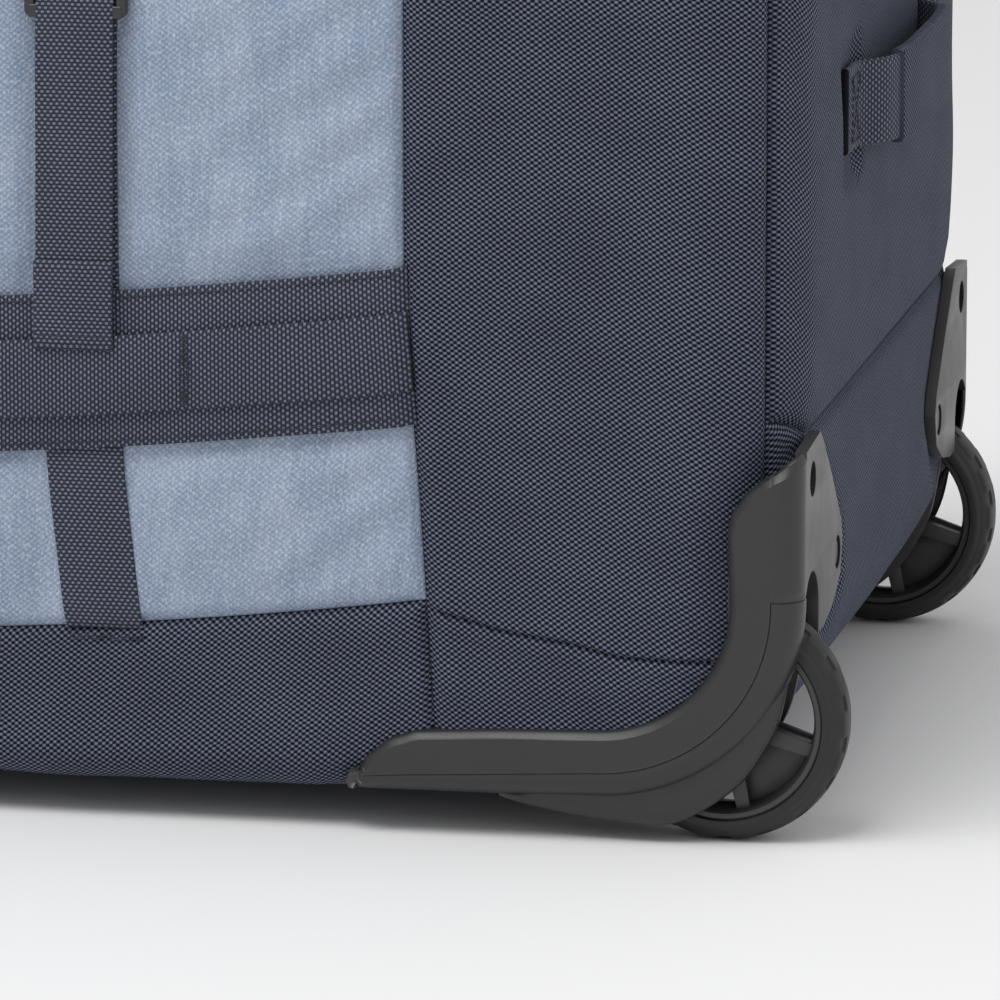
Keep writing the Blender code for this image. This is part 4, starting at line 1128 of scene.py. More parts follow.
def make_zip():
    """Two tapes and a row of moulded teeth round three sides of the lid."""
    path = rim_path(LID_LOW_X + 0.0018, 0.2935, LID_HALF - 0.0018, LID_RADIUS - 0.0018, 0.0015)
    run = lengths(np.column_stack((path, np.zeros(len(path)))), 0)
    pitch = 0.0021
    centres = np.arange(pitch, run[-1], pitch)
    x = np.interp(centres, run, path[:, 0])
    y = np.interp(centres, run, path[:, 1])
    ahead = np.column_stack((np.interp(centres + 0.001, run, path[:, 0]) - np.interp(centres - 0.001, run, path[:, 0]),
                             np.interp(centres + 0.001, run, path[:, 1]) - np.interp(centres - 0.001, run, path[:, 1])))
    ahead /= np.linalg.norm(ahead, axis=1, keepdims=True)
    builder = bmesh.new()
    for k, (px, py, (tx, ty)) in enumerate(zip(x, y, ahead)):
        shift = 0.0006 if k % 2 else -0.0006
        nx, ny = -ty, tx
        ring = [(-0.0011, -0.00055), (0.0011, -0.00055), (0.0011, 0.00055), (-0.0011, 0.00055)]
        low = [builder.verts.new((px + nx * (a + shift) + tx * b, py + ny * (a + shift) + ty * b, BODY_TOP - 0.0018))
               for a, b in ring]
        high = [builder.verts.new((px + nx * (0.8 * a + shift) + tx * 0.7 * b, py + ny * (0.8 * a + shift)
                                   + ty * 0.7 * b, BODY_TOP + 0.0003)) for a, b in ring]
        builder.faces.new(high)
        for i in range(4):
            builder.faces.new((low[i], low[(i + 1) % 4], high[(i + 1) % 4], high[i]))
    place_piece(built_piece(builder, "zip_teeth", "zip", smooth=False), "zip_plastic", "zip_chain")
    centre = np.column_stack((path, np.full(len(path), BODY_TOP - 0.0020)))
    sideways = np.gradient(centre, axis=0)
    sideways /= np.linalg.norm(sideways, axis=1, keepdims=True)
    across = np.column_stack((sideways[:, 1], -sideways[:, 0], np.zeros(len(path))))
    place_piece(ribbon("zip_tape", centre, across, 0.0070, 0.0008), "navy_webbing")
    for word in SIDES:
        low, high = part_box(f"zip_slider_{word}")
        builder = bmesh.new()
        middle_y, middle_z = (low.y + high.y) / 2, (low.z + high.z) / 2
        outline = [(low.x, low.y + 0.0020), (low.x + 0.0030, low.y), (high.x - 0.0020, low.y + 0.0006),
                   (high.x, middle_y), (high.x - 0.0020, high.y - 0.0006), (low.x + 0.0030, high.y),
                   (low.x, high.y - 0.0020)]
        solid_prism(builder, outline, "Z", low.z, middle_z + 0.0002)
        bridge = [(low.x + 0.0004, middle_z), (low.x + 0.0020, high.z - 0.0002), (high.x - 0.0035, high.z - 0.0002),
                  (high.x - 0.0022, middle_z), (high.x - 0.0034, middle_z), (high.x - 0.0043, high.z - 0.0012),
                  (low.x + 0.0028, high.z - 0.0012), (low.x + 0.0018, middle_z)]
        solid_prism(builder, bridge, "Y", middle_y - 0.0016, middle_y + 0.0016)
        round_edges(builder, 0.00045, 2)
        piece = built_piece(builder, f"zip_slider_body_{word}", "zip")
        place_piece(piece, "zip_plastic", f"zip_slider_{word}", body=f"slider_{word}")
        low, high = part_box(f"zip_pull_{word}")
        middle_y, middle_z = (low.y + high.y) / 2, (low.z + high.z) / 2
        path = [(high.x - 0.0004, middle_y, middle_z), (low.x + 0.016, middle_y, middle_z),
                (low.x + 0.006, middle_y, middle_z), (low.x, middle_y, middle_z)]
        pull = ribbon(f"zip_pull_tab_{word}", bend(path, 0.001), (0, 1, 0), 0.0064, 0.0018)
        place_piece(pull, "navy_webbing", f"zip_pull_{word}", body=f"pull_{word}")
        builder = bmesh.new()
        grip = rounded_rectangle((low.x, middle_y - 0.0036), (low.x + 0.0105, middle_y + 0.0036), 0.002)
        solid_prism(builder, grip, "Z", middle_z - 0.0014, middle_z + 0.0014)
        round_edges(builder, 0.0006, 2)
        piece = built_piece(builder, f"zip_pull_end_{word}", "zip")
        place_piece(piece, "zip_plastic", body=f"pull_{word}")


# ---------------------------------------------------------------- webbing

def lane_path(z0, y, side, half, lift=None, pitch=0.002):
    x = np.linspace(-half, half, round(2 * half / pitch) + 1)
    raised = lift(x) if lift else np.zeros_like(x)
    return np.column_stack((x, side * (y + raised), smile(z0, x)))


def loop_lift(x):
    """How far the narrow webbing stands off between its bar tacks."""
    distance = np.abs(x)
    lift = np.zeros_like(x)
    edges = (-BAR_TACKS[0], *BAR_TACKS)
    for low, high in zip(edges, edges[1:]):
        middle, half = (low + high) / 2, (high - low) / 2
        lift += np.where((distance >= low) & (distance < high), 1 - ((distance - middle) / half) ** 2, 0)
    outer = distance > BAR_TACKS[2]
    return np.where(outer, 0.35, 1.0) * 0.0011 * np.clip(lift, 0, 1)


def into_seam(piece, side, half):
    """Trims webbing to the slanting upright seams and tucks its ends under the corner cloth."""
    vertices = piece.data.vertices
    spots = np.zeros(3 * len(vertices))
    vertices.foreach_get("co", spots)
    spots = spots.reshape(-1, 3)
    end = np.sign(spots[:, 0])
    reach = np.abs(spots[:, 0])
    seam = seam_x(spots[:, 2]) + 0.0016
    reach = reach + (seam - half) * smooth_step(reach, 0.19, half)
    spots[:, 1] -= side * 0.0030 * smooth_step(reach, seam - 0.0050, seam - 0.0002)
    spots[:, 0] = end * reach
    vertices.foreach_set("co", spots.ravel())


def make_side_webbing():
    webbing = bpy.context.scene.duffel_webbing
    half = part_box("daisy_webbing_left")[1].x
    rows_of = {word: [] for word in SIDES}
    for word, side in SIDES.items():
        path = lane_path(WIDE_Z, WIDE_Y + 0.0007, side, half)
        wide = ribbon(f"wide_webbing_{word}", path, (0, 0, 1), WIDE, webbing.thickness)
        into_seam(wide, side, half)
        place_piece(wide, "navy_webbing", f"daisy_webbing_{word}")
        path = lane_path(NARROW_Z, NARROW_Y + 0.0007, side, half, loop_lift)
        narrow = ribbon(f"narrow_webbing_{word}", path, (0, 0, 1), NARROW, webbing.thickness)
        into_seam(narrow, side, half)
        place_piece(narrow, "navy_webbing", f"daisy_loops_{word}")
        out = (0, side, 0)
        for offset in (-0.5 * WIDE + 0.0022, 0.5 * WIDE - 0.0022):
            rows_of[word].append((lane_path(WIDE_Z + offset, WIDE_Y + 0.0014, side, half), out))
        for end in ENDS.values():
            for x in BAR_TACKS[:3]:
                count = 31
                z = smile(NARROW_Z, x) + np.linspace(-0.0112, 0.0112, count)
                zigzag = end * x + np.where(np.arange(count) % 2, 0.0013, -0.0013)
                path = np.column_stack((zigzag, np.full(count, side * (NARROW_Y + 0.0015)), z))
                rows_of[word].append((path, out))
    for word, rows in rows_of.items():
        stitches(f"side_webbing_stitching_{word}", rows, gap=0.82)


def make_straps():
    """Compression straps: sewn into the band seam, up through the ladder lock, with a hemmed tail in front."""
    webbing = bpy.context.scene.duffel_webbing
    thick = webbing.thickness
    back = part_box("compression_strap_left_front")[0].y + thick / 2
    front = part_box("compression_strap_left_front")[1].y - 1.9 * thick
    for word, side in SIDES.items():
        rows = []
        for end_word, end in ENDS.items():
            label = f"{word}_{end_word}"
            low = smile(BAND_SEAM_Z, 0.1435) - 0.0008
            points = [(0.1440, back - 0.0012, low), (0.1432, back, low + 0.006), (0.1415, back, 0.085),
                      (0.1385, back, 0.115), (0.1375, back, 0.150), (0.1372, back, 0.220), (0.1375, back, 0.255),
                      (0.1375, back + 0.0016, 0.2635)]
            path = [(end * x, side * y, z) for x, y, z in points]
            strap = ribbon(f"compression_strap_{label}_riser", bend(path), (1, 0, 0), NARROW, thick)
            place_piece(strap, "navy_webbing", f"compression_strap_{label}")
            points = [(0.1375, 0.1806, 0.2664), (0.1374, front, 0.2600), (0.1372, front + 0.0006, 0.2400),
                      (0.1369, front + 0.0003, 0.2100), (0.1365, front, 0.1830), (0.1363, front + 0.0002, 0.1660),
                      (0.1362, front + 0.0001, 0.1545)]
            path = [(end * x, side * y, z) for x, y, z in points]
            tail = ribbon(f"compression_strap_{label}_tail", bend(path), (1, 0, 0), NARROW, thick)
            place_piece(tail, "navy_webbing")
            points = [(0.1362, front, 0.1540), (0.1362, front + thick, 0.1546), (0.1363, front + thick, 0.1660),
                      (0.1363, front + thick * 0.98, 0.1795), (0.1363, front + thick * 0.6, 0.1806)]
            path = [(end * x, side * y, z) for x, y, z in points]
            hem = ribbon(f"compression_strap_{label}_hem", bend(path, 0.001), (1, 0, 0), NARROW + 0.0004, thick)
            place_piece(hem, "navy_webbing")
            out = (0, side, 0)
            outside = side * (front + 1.5 * thick)
            xs = end * 0.1362 + np.linspace(-0.0110, 0.0110, 12)
            rows.append((np.column_stack((xs, np.full(12, outside), np.full(12, 0.1575))), out))
            xs = end * 0.1450 + np.linspace(-0.0122, 0.0122, 23)
            zigzag = low - 0.0032 + np.where(np.arange(23) % 2, 0.0007, -0.0007)
            rows.append((np.column_stack((xs, np.full(23, side * (BODY_Y + 0.0012)), zigzag)), out))
            lock_and_loop(label, side)
        stitches(f"strap_stitching_{word}", rows, gap=0.85)


def lock_and_loop(label, side):
    """A ladder lock with a slanted thumb edge, and the short loop of webbing that holds it."""
    low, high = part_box(f"ladder_lock_{label}")
    middle = (low.y + high.y) / 2
    builder = bmesh.new()
    rail = 0.0032
    deep = 0.0019
    for x0, x1 in ((low.x, low.x + rail), (high.x - rail, high.x)):
        solid_prism(builder, rounded_rectangle((x0, low.z), (x1, high.z), 0.0014), "Y", middle - deep, middle + deep)
    for z0, z1, shift in ((low.z - 0.0006, low.z + 0.0036, 0.0008), (low.z + 0.0088, low.z + 0.0112, -0.0002),
                          (high.z - 0.0034, high.z, 0.0)):
        outline = rounded_rectangle((low.x + 0.001, z0), (high.x - 0.001, z1), 0.0010)
        solid_prism(builder, outline, "Y", middle - deep * 0.8 + side * shift, middle + deep * 0.8 + side * shift)
    round_edges(builder, 0.0006, 2)
    lock = built_piece(builder, f"ladder_lock_frame_{label}", "moulding")
    place_piece(lock, "black_plastic", f"ladder_lock_{label}")
    low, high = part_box(f"buckle_loop_{label}")
    x = (low.x + high.x) / 2
    near, far = min(abs(low.y), abs(high.y)), max(abs(low.y), abs(high.y))
    points = [(near + 0.0006, high.z + 0.0015), (near + 0.0006, 0.2790), (near + 0.0009, 0.2735),
              ((near + far) / 2, low.z + 0.0008), (far - 0.0008, 0.2735), (far - 0.0006, 0.2790),
              (far - 0.0016, high.z), (near + 0.0024, high.z + 0.0022)]
    path = [(x, side * y, z) for y, z in points]
    loop = ribbon(f"buckle_loop_{label}_webbing", bend(path, 0.001), (1, 0, 0), NARROW, 0.0012)
    place_piece(loop, "navy_webbing", f"buckle_loop_{label}")


def make_side_handles():
    """Webbing haul handles that hang against the sides, with a padded sleeve where the hand goes."""
    webbing = bpy.context.scene.duffel_webbing
    for word, side in SIDES.items():
        low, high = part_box(f"side_handle_{word}")
        y = (low.y + high.y) / 2
        x, middle = high.x - NARROW / 2, low.z + NARROW / 2
        top = high.z - 0.0005
        corner = 0.026
        plan = [(-x, top), (-x, middle + corner)]
        plan += arc((-x + corner, middle + corner), corner, 180, 270, 7.5)[1:]
        plan += [(0.0, middle)] + arc((x - corner, middle + corner), corner, 270, 360, 7.5)
        plan += [(x, top)]
        dense = []
        for (a0, b0), (a1, b1) in zip(plan, plan[1:]):
            count = max(1, round(math.hypot(a1 - a0, b1 - b0) / 0.003))
            dense += [(a0 + (a1 - a0) * k / count, b0 + (b1 - b0) * k / count) for k in range(count)]
        dense.append(plan[-1])
        path = np.array([(a, y, b) for a, b in dense])
        tangent = np.gradient(path, axis=0)
        tangent /= np.linalg.norm(tangent, axis=1, keepdims=True)
        across = np.cross(tangent, (0, 1, 0))
        strap = ribbon(f"side_handle_{word}_webbing", path, across, NARROW, 0.0030)
        body = f"side_handle_{word}"
        place_piece(strap, "navy_webbing", f"side_handle_{word}", body=body)
        sleeve_path = np.array([(a, y, middle) for a in np.linspace(-0.052, 0.052, 60)])
        sleeve = ribbon(f"side_handle_{word}_sleeve", sleeve_path, (0, 0, 1), NARROW + 0.0036, 0.0066, "navy")
        grid = np.array([v.co for v in sleeve.data.vertices])
        squeeze = 1 - 0.10 * np.abs(np.cos(grid[:, 0] * math.pi / 0.026))
        grid[:, 1] = y + (grid[:, 1] - y) * squeeze
        sleeve.data.vertices.foreach_set("co", grid.ravel())
        place_piece(sleeve, "navy_fabric", body=body)
        rows = []
        for offset in (-0.0110, 0.0110):
            edge_path = path + across * offset + np.array((0, side * 0.0015, 0))
            rows.append((edge_path, (0, side, 0)))
        for offset in (-0.0118, 0.0118):
            line = [(a, y + side * 0.0033, middle + offset) for a in np.linspace(-0.050, 0.050, 50)]
            rows.append((line, (0, side, 0)))
        stitches(f"side_handle_{word}_stitching", rows, body=body)
        for sign in (-1, 1):
            patch = np.array([(sign * x, side * (BODY_Y + 0.0012), z) for z in np.linspace(0.2625, 0.2845, 12)])
            anchor = ribbon(f"side_handle_{word}_anchor_{'front' if sign > 0 else 'rear'}", patch, (1, 0, 0),
                            NARROW + 0.002, webbing.thickness)
            place_piece(anchor, "navy_webbing")


def make_end_handles():
    """Padded grab handles on both ends, sewn down with boxed crosses."""
    rows = []
    for word, end in (("wheel_end", 1), ("handle_end", -1)):
        low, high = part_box(f"{word}_grab_handle")
        z = (low.z + high.z) / 2
        near, far = sorted((abs(low.x), abs(high.x)))
        y = high.y
        base = near + 0.0016
        path = [(base - 0.0006, y), (base, y - 0.006), (base + 0.0003, y - 0.017), (far - 0.0050, 0.0560),
                (far - 0.0018, 0.0350), (far - 0.0014, 0.0), (far - 0.0018, -0.0350), (far - 0.0050, -0.0560),
                (base + 0.0003, 0.017 - y), (base, 0.006 - y), (base - 0.0006, -y)]
        path = bend([(end * a, b, z) for a, b in path])
        strap = ribbon(f"{word}_grab_webbing", path, (0, 0, 1), 0.028, 0.0026)
        place_piece(strap, "navy_webbing", f"{word}_grab_handle")
        inner = [p for p in path if abs(p[1]) < 0.050]
        sleeve = ribbon(f"{word}_grab_sleeve", inner, (0, 0, 1), 0.0305, 0.0052, "navy")
        place_piece(sleeve, "navy_fabric")
        for sign in (-1, 1):
            outside = end * (base + 0.0016)
            a0, a1 = sign * (y - 0.0030), sign * (y - 0.0175)
            z0, z1 = z - 0.0105, z + 0.0105
            corners = [(a0, z0), (a1, z0), (a1, z1), (a0, z1), (a0, z0), (a1, z1), (a1, z0), (a0, z1)]
            for (b0, c0), (b1, c1) in zip(corners, corners[1:]):
                line = np.linspace((outside, b0, c0), (outside, b1, c1), 9)
                rows.append((line, (end, 0, 0)))
    stitches("grab_handle_stitching", rows)


# ---------------------------------------------------------------- mouldings

def guard_rim():
    """The corner guard's free edge, laid flat: its toe, inner edge and the top of its leg round to the end face."""
    rim = [(0.2262, 0.0120), (0.2236, 0.0145), (0.2232, 0.0164), (0.2285, 0.0250), (0.2355, 0.0310),
           (0.2445, 0.0342), (0.2715, 0.0358)]
    rim += arc(CORNER, INNER_RADIUS, -90, 0, 3)
    rim += [(0.3437, 0.1020), (0.3450, 0.1080), (0.3490, 0.1140), (0.3550, 0.1190), (0.3580, LEG_SHOULDER)]
    return rim + [(0.3580 + ROLL * t, roll_top(t)) for t in np.linspace(0.2, math.pi / 2, 8)] + [(0.39, 0.1275)]


ROLL = 0.0095
LEG_SHOULDER = 0.1208


def roll_top(turn):
    """Height of the leg's top edge across its rounded corner."""
    return LEG_SHOULDER + 0.0060 * np.sin(turn) ** 1.2


def rim_drop(across, z, turn=0.0):
    """How far the guard has sloped back towards the cloth, near its free edge."""
    hardware = bpy.context.scene.duffel_hardware
    rim = guard_rim()
    nearest = np.full(np.shape(across), 1.0)
    for (a0, b0), (a1, b1) in zip(rim, rim[1:]):
        da, db = a1 - a0, b1 - b0
        t = np.clip(((across - a0) * da + (z - b0) * db) / (da * da + db * db), 0, 1)
        nearest = np.minimum(nearest, np.hypot(across - a0 - t * da, z - b0 - t * db))
    slope = np.clip(1 - nearest / hardware.bevel, 0, 1)
    return 0.0024 * slope * (1 - 0.7 * np.sin(turn) ** 2) + 0.0012 * np.clip(1 - nearest / 0.0004, 0, 1)


def guard_stations():
    """Inner edge, parting line and outer edge of the corner guard, from its toe round to its shoulder."""
    toe = np.concatenate((np.linspace(0.2243, 0.2300, 14), np.linspace(0.2310, CORNER[0], 34)))
    inner = np.interp(toe, (0.2232, 0.2285, 0.2355, 0.2445, 0.2715, 0.3025),
                      (0.0164, 0.0250, 0.0310, 0.0342, 0.0358, 0.0368))
    parting = np.minimum(np.interp(toe, (0.2232, 0.2350, 0.3025), (0.0188, 0.0196, 0.0233)), inner)
    parting = np.minimum(parting, inner - 0.0012)
    outer = np.interp(toe, (0.2232, 0.2238, 0.2262, 0.3025), (0.0163, 0.0148, 0.0134, 0.0138))
    outer = np.minimum(outer, parting - 0.0012)
    stations = [((x, a), (x, b), (x, c)) for x, a, b, c in zip(toe, inner, parting, outer)]
    arcs = [arc(CORNER, r, -90, 0, 2.5)[1:] for r in (INNER_RADIUS, PARTING_RADIUS, OUTER_RADIUS)]
    stations += list(zip(*arcs))
    heights = np.unique((*np.linspace(CORNER[1] + 0.0012, 0.1050, 16), 0.0802, 0.0805,
                         *np.linspace(0.1060, LEG_SHOULDER, 28)))
    for z in heights:
        x = np.interp(z, (0.0788, 0.1020, 0.1080, 0.1140, 0.1190, LEG_SHOULDER),
                      (0.3445, 0.3437, 0.3450, 0.3490, 0.3550, 0.3580))
        stations.append(((x, z), (0.3580, z), (FLANGE_X, z)))
    return np.array(stations)


def shell_piece(name, points, side, thickness=0.0026, least=25):
    mesh = grid_mesh(name, points, np.stack((lengths(points, 1), lengths(points, 0)), -1))
    piece = new_piece(name, mesh, "moulding")
    if side < 0:
        mesh.flip_normals()
    crisp(piece, least)
    shell = piece.modifiers.new("wall", "SOLIDIFY")
    shell.thickness = thickness
    shell.offset = -1.0
    return piece


def with_toe(rows):
    """Closes the toe of the guard with a wall back to the cloth."""
    rows = np.array(rows)
    wall = rows[:, :1].copy()
    wall[..., 1] = np.sign(wall[..., 1]) * np.minimum(np.abs(wall[..., 1]), 0.1742)
    return np.concatenate((wall, rows), 1)


def make_guard(word, side):
    """The L-shaped corner guard: a flat face with a sloping inner edge, and its flange on the wheel end."""
    hardware = bpy.context.scene.duffel_hardware
    inner, parting, outer = guard_stations().transpose(1, 0, 2)
    width = np.linalg.norm(parting - inner, axis=1, keepdims=True)
    inward = np.where(width > 1e-6, (parting - inner) / np.maximum(width, 1e-6), (1.0, 0.0))
    reach = np.linspace(0, 1, 60)[:, None, None] * width[None]
    line = inner[None] + inward[None] * reach
    free = rim_drop(line[..., 0], line[..., 1]) < 1e-6
    first = np.where(free.any(0), free.argmax(0), 59)
    crease = np.take_along_axis(reach[..., 0], first[None], 0)[0][:, None]
    columns = [inner + inward * crease * k for k in (0, 0.04, 0.10, 0.3, 0.6, 0.9)]
    columns += [inner + inward * (crease + (width - crease) * k) for k in (0, 0.1, 0.35, 0.6, 0.85, 0.97, 1.0)]
    upper = outer[:, 1] > 0.0804
    grid = []
    for k, spot in enumerate(columns):
        y = GUARD_Y - rim_drop(spot[:, 0], spot[:, 1])
        if k == len(columns) - 1:
            y = y - np.where(upper, 0.0, 0.0003)
        grid.append(np.column_stack((spot[:, 0], side * y, spot[:, 1])))
    skirt = grid[0].copy()
    skirt[:, 1] = side * 0.1742
    guard = shell_piece(f"corner_guard_{word}_face", with_toe([skirt, *grid]), side)
    place_piece(guard, "black_plastic", f"corner_guard_{word}")

    turns = np.concatenate(([0, 0.02], np.linspace(0.12, math.pi / 2, 14)))
    low = ~upper
    roll = []
    for t in turns:
        spot = parting[low] + (outer[low] - parting[low]) * math.sin(t)
        y = 0.1705 + (GUARD_Y - 0.1705) * math.cos(t) - 0.0003 * math.exp(-(t / 0.05) ** 2)
        y = y - rim_drop(spot[:, 0], spot[:, 1]) * math.cos(t)
        roll.append(np.column_stack((spot[:, 0], side * y, spot[:, 1])))
    roll.append(roll[-1] - np.array((0, side * 0.0012, 0)))
    lower = shell_piece(f"wheel_housing_{word}_roll", with_toe(roll), side, 0.0012, 40)
    place_piece(lower, "black_plastic")
    share = np.concatenate((np.linspace(0, 0.90, 14), np.linspace(0.92, 1.0, 12)))
    turn, share = np.meshgrid(turns, share, indexing="ij")
    z = 0.0805 + (roll_top(turn) - 0.0805) * share
    radius = ROLL - rim_drop(0.3580 + ROLL * turn, z, turn)
    corner = np.stack((0.3580 + radius * np.sin(turn), side * (0.1705 + radius * np.cos(turn)), z), -1)
    upper_roll = shell_piece(f"corner_guard_{word}_corner", corner, side)
    place_piece(upper_roll, "black_plastic")

    y, z, radius = ARCH
    arch = [(y + radius * math.cos(math.radians(t)), z + radius * math.sin(math.radians(t)))
            for t in range(180, 30, -10)]
    plate = [(0.1705, 0.0808), (0.1705, 0.1268), *FLANGE_OUTLINE, *arch]
    holes = [arc(*hole, 0, 348, 12) for hole in FLANGE_HOLES]
    builder = bmesh.new()
    rings = [[(side * a, b) for a, b in ring] for ring in (plate, *holes)]
    pierced_plate(builder, rings, FLANGE_X - FLANGE_BACK, FLANGE_X)
    bmesh.ops.recalc_face_normals(builder, faces=builder.faces)
    sharp = [e for e in builder.edges if len(e.link_faces) == 2 and e.calc_face_angle(0) > 1.2
             and all(abs(v.co.x - FLANGE_X) < 1e-6 and abs(abs(v.co.y) - 0.1705) > 1e-5 for v in e.verts)]
    bmesh.ops.bevel(builder, geom=sharp, offset=0.0007, segments=3, profile=0.5, affect="EDGES", clamp_overlap=True)
    flange = built_piece(builder, f"corner_guard_{word}_flange", "moulding", "recess")
    # The walls of the flange holes take the near-black finish, painted shade for their dark insides.
    for polygon in flange.data.polygons:
        spot = polygon.center
        inside = any(math.dist((side * spot.y, spot.z), hole) < radius - 0.00002 for hole, radius in FLANGE_HOLES)
        polygon.material_index = int(inside and abs(polygon.normal.x) < 0.3)
    crisp(flange)
    place_piece(flange, "black_plastic")
    builder = bmesh.new()
    (y, z), radius = FLANGE_HOLES[1]
    back = FLANGE_X - FLANGE_BACK
    solid_prism(builder, [(side * a, b) for a, b in arc((y + 0.0006, z), radius - 0.0009, 0, 345, 15)], "X", back,
                FLANGE_X - 0.0006)
    round_edges(builder, 0.0005, 2, 60)
    screw = built_piece(builder, f"corner_guard_{word}_screw", "moulding")
    crisp(screw)
    place_piece(screw, "black_plastic")


def pierced_plate(builder, rings, low, high):
    """A flat plate across X: its first ring is the outline and the others are holes."""
    levels = [[[builder.verts.new((x, a, b)) for a, b in ring] for ring in rings] for x in (low, high)]
    triangles = tessellate_polygon([[Vector((a, b, 0)) for a, b in ring] for ring in rings])
    for level in levels:
        flat = [v for ring in level for v in ring]
        for triangle in triangles:
            builder.faces.new([flat[i] for i in triangle])
    for low_ring, high_ring in zip(*levels):
        for i in range(len(low_ring)):
            j = (i + 1) % len(low_ring)
            builder.faces.new((low_ring[i], low_ring[j], high_ring[j], high_ring[i]))


def crisp(piece, least=38):
    """Smooth shading that breaks at edges sharper than an angle in degrees."""
    piece.data.set_sharp_from_angle(angle=math.radians(least))


def make_housing(word, side):
    """The cheeks on both sides of the wheel and the arched roof over it."""
    x, z = WHEEL_X, WHEEL_Z
    right = 0.3630
    start = math.degrees(math.acos((right - x) / WELL_RADIUS))
    lobe = bend([(p[0], 0, p[1]) for p in
                 ((0.2900, 0.0165), (0.2700, 0.0140), (0.2825, 0.0100), (0.3045, 0.0070), (0.3235, 0.0062),
                  (0.3365, 0.0120), (0.3475, 0.0210), (0.3545, 0.0310), (0.3595, 0.0420), (right, 0.0600))], 0.0025)
    cheek = [(p[0], p[2]) for p in lobe] + arc((x, z), WELL_RADIUS, start, 180, 4)[1:]
    builder = bmesh.new()
    for low, high in ((0.1435, 0.1465), (0.1705, 0.1732)):
        solid_prism(builder, cheek, "Y", side * low, side * high)
    round_edges(builder, 0.0011, 3, 50)
    inner = WELL_RADIUS - 0.0030
    inner_start = math.degrees(math.acos((right - x) / inner))
    roof = arc((x, z), WELL_RADIUS, start, 180, 4) + [(x - WELL_RADIUS, 0.0165), (x - inner, 0.0165)]
    roof += arc((x, z), inner, 180, inner_start, 4)
    solid_prism(builder, roof, "Y", side * 0.1436, side * 0.1731)
    name = f"wheel_housing_{word}_cheeks"
    housing = built_piece(builder, name, "moulding")
    crisp(housing)
    place_piece(housing, "black_plastic", f"wheel_housing_{word}")
    rim = [(p[0], p[2]) for p in lobe[4:]] + arc((x, z), WELL_RADIUS, start, 180, 4)[1:]
    middle = np.array((0.3250, 0.0360))
    share = np.array((0, 0.3, 0.5, 0.65, 0.75, 0.82, 0.87, 0.91, 0.94, 0.965, 0.985, 1.0))[:, None, None]
    spots = middle + (np.array(rim + rim[:1])[None] - middle) * share
    depth = -outline_distance(spots[..., 0], spots[..., 1], rim)
    belly = 0.0046 * np.sqrt(np.clip(1 - np.square(np.clip(1 - depth / 0.0060, 0, 1)), 0, 1))
    below = np.hypot(np.maximum(spots[..., 0] - CORNER[0], 0), CORNER[1] - spots[..., 1])
    belly = belly * smooth_step(below, 0.0500, 0.0590)
    dome = np.stack((spots[..., 0], side * (0.1706 + belly), spots[..., 1]), -1)
    belly_piece = shell_piece(f"wheel_housing_{word}_lobe", dome, -side, 0.0005, 60)
    place_piece(belly_piece, "black_plastic")


# ---------------------------------------------------------------- wheels

def turned_grid(name, profile, count, centre, shape=None):
    """A ring turned about the wheel's axle from (across, radius) points; shape may move its points."""
    turn = np.linspace(0, 2 * math.pi, count + 1)
    y = np.array([p[0] for p in profile])[:, None] * np.ones(count + 1)
    r = np.array([p[1] for p in profile])[:, None] * np.ones(count + 1)
    if shape is not None:
        y, r = shape(y, r, turn[None, :] * np.ones_like(r))
    points = np.stack((centre[0] + r * np.cos(turn), centre[1] + y, centre[2] + r * np.sin(turn)), -1)
    places = np.stack((turn[None, :] * centre[2] * np.ones_like(r), lengths(points, 0)), -1)
    mesh = grid_mesh(name, points, places)
    builder = bmesh.new()
    builder.from_mesh(mesh)
    bmesh.ops.remove_doubles(builder, verts=builder.verts, dist=1e-6)
    bmesh.ops.recalc_face_normals(builder, faces=builder.faces)
    builder.to_mesh(mesh)
    builder.free()
    return mesh


def tread(y, r, turn):
    """Shallow moulded blocks along both shoulders of the tyre."""
    hardware = bpy.context.scene.duffel_hardware
    share = turn * hardware.tread_blocks / (2 * math.pi) + np.where(y > 0, 0.0, 0.5)
    wave = np.abs((share % 1.0) - 0.5) * 2
    groove = 1 - smooth_step(wave, 0.58, 0.64)
    shoulder = smooth_step(np.abs(y), 0.0028, 0.0040) * (1 - smooth_step(np.abs(y), 0.0096, 0.0101))
    outer = smooth_step(r, 0.0335, 0.0345)
    sunk = hardware.tread_depth * (1 - groove * (1 - smooth_step(np.abs(y), 0.0060, 0.0085) * 0.9)) * shoulder * outer
    centre = 0.0354
    fall = np.hypot(y, r - centre) + 1e-9
    return y - sunk * y / fall, r - sunk * (r - centre) / fall


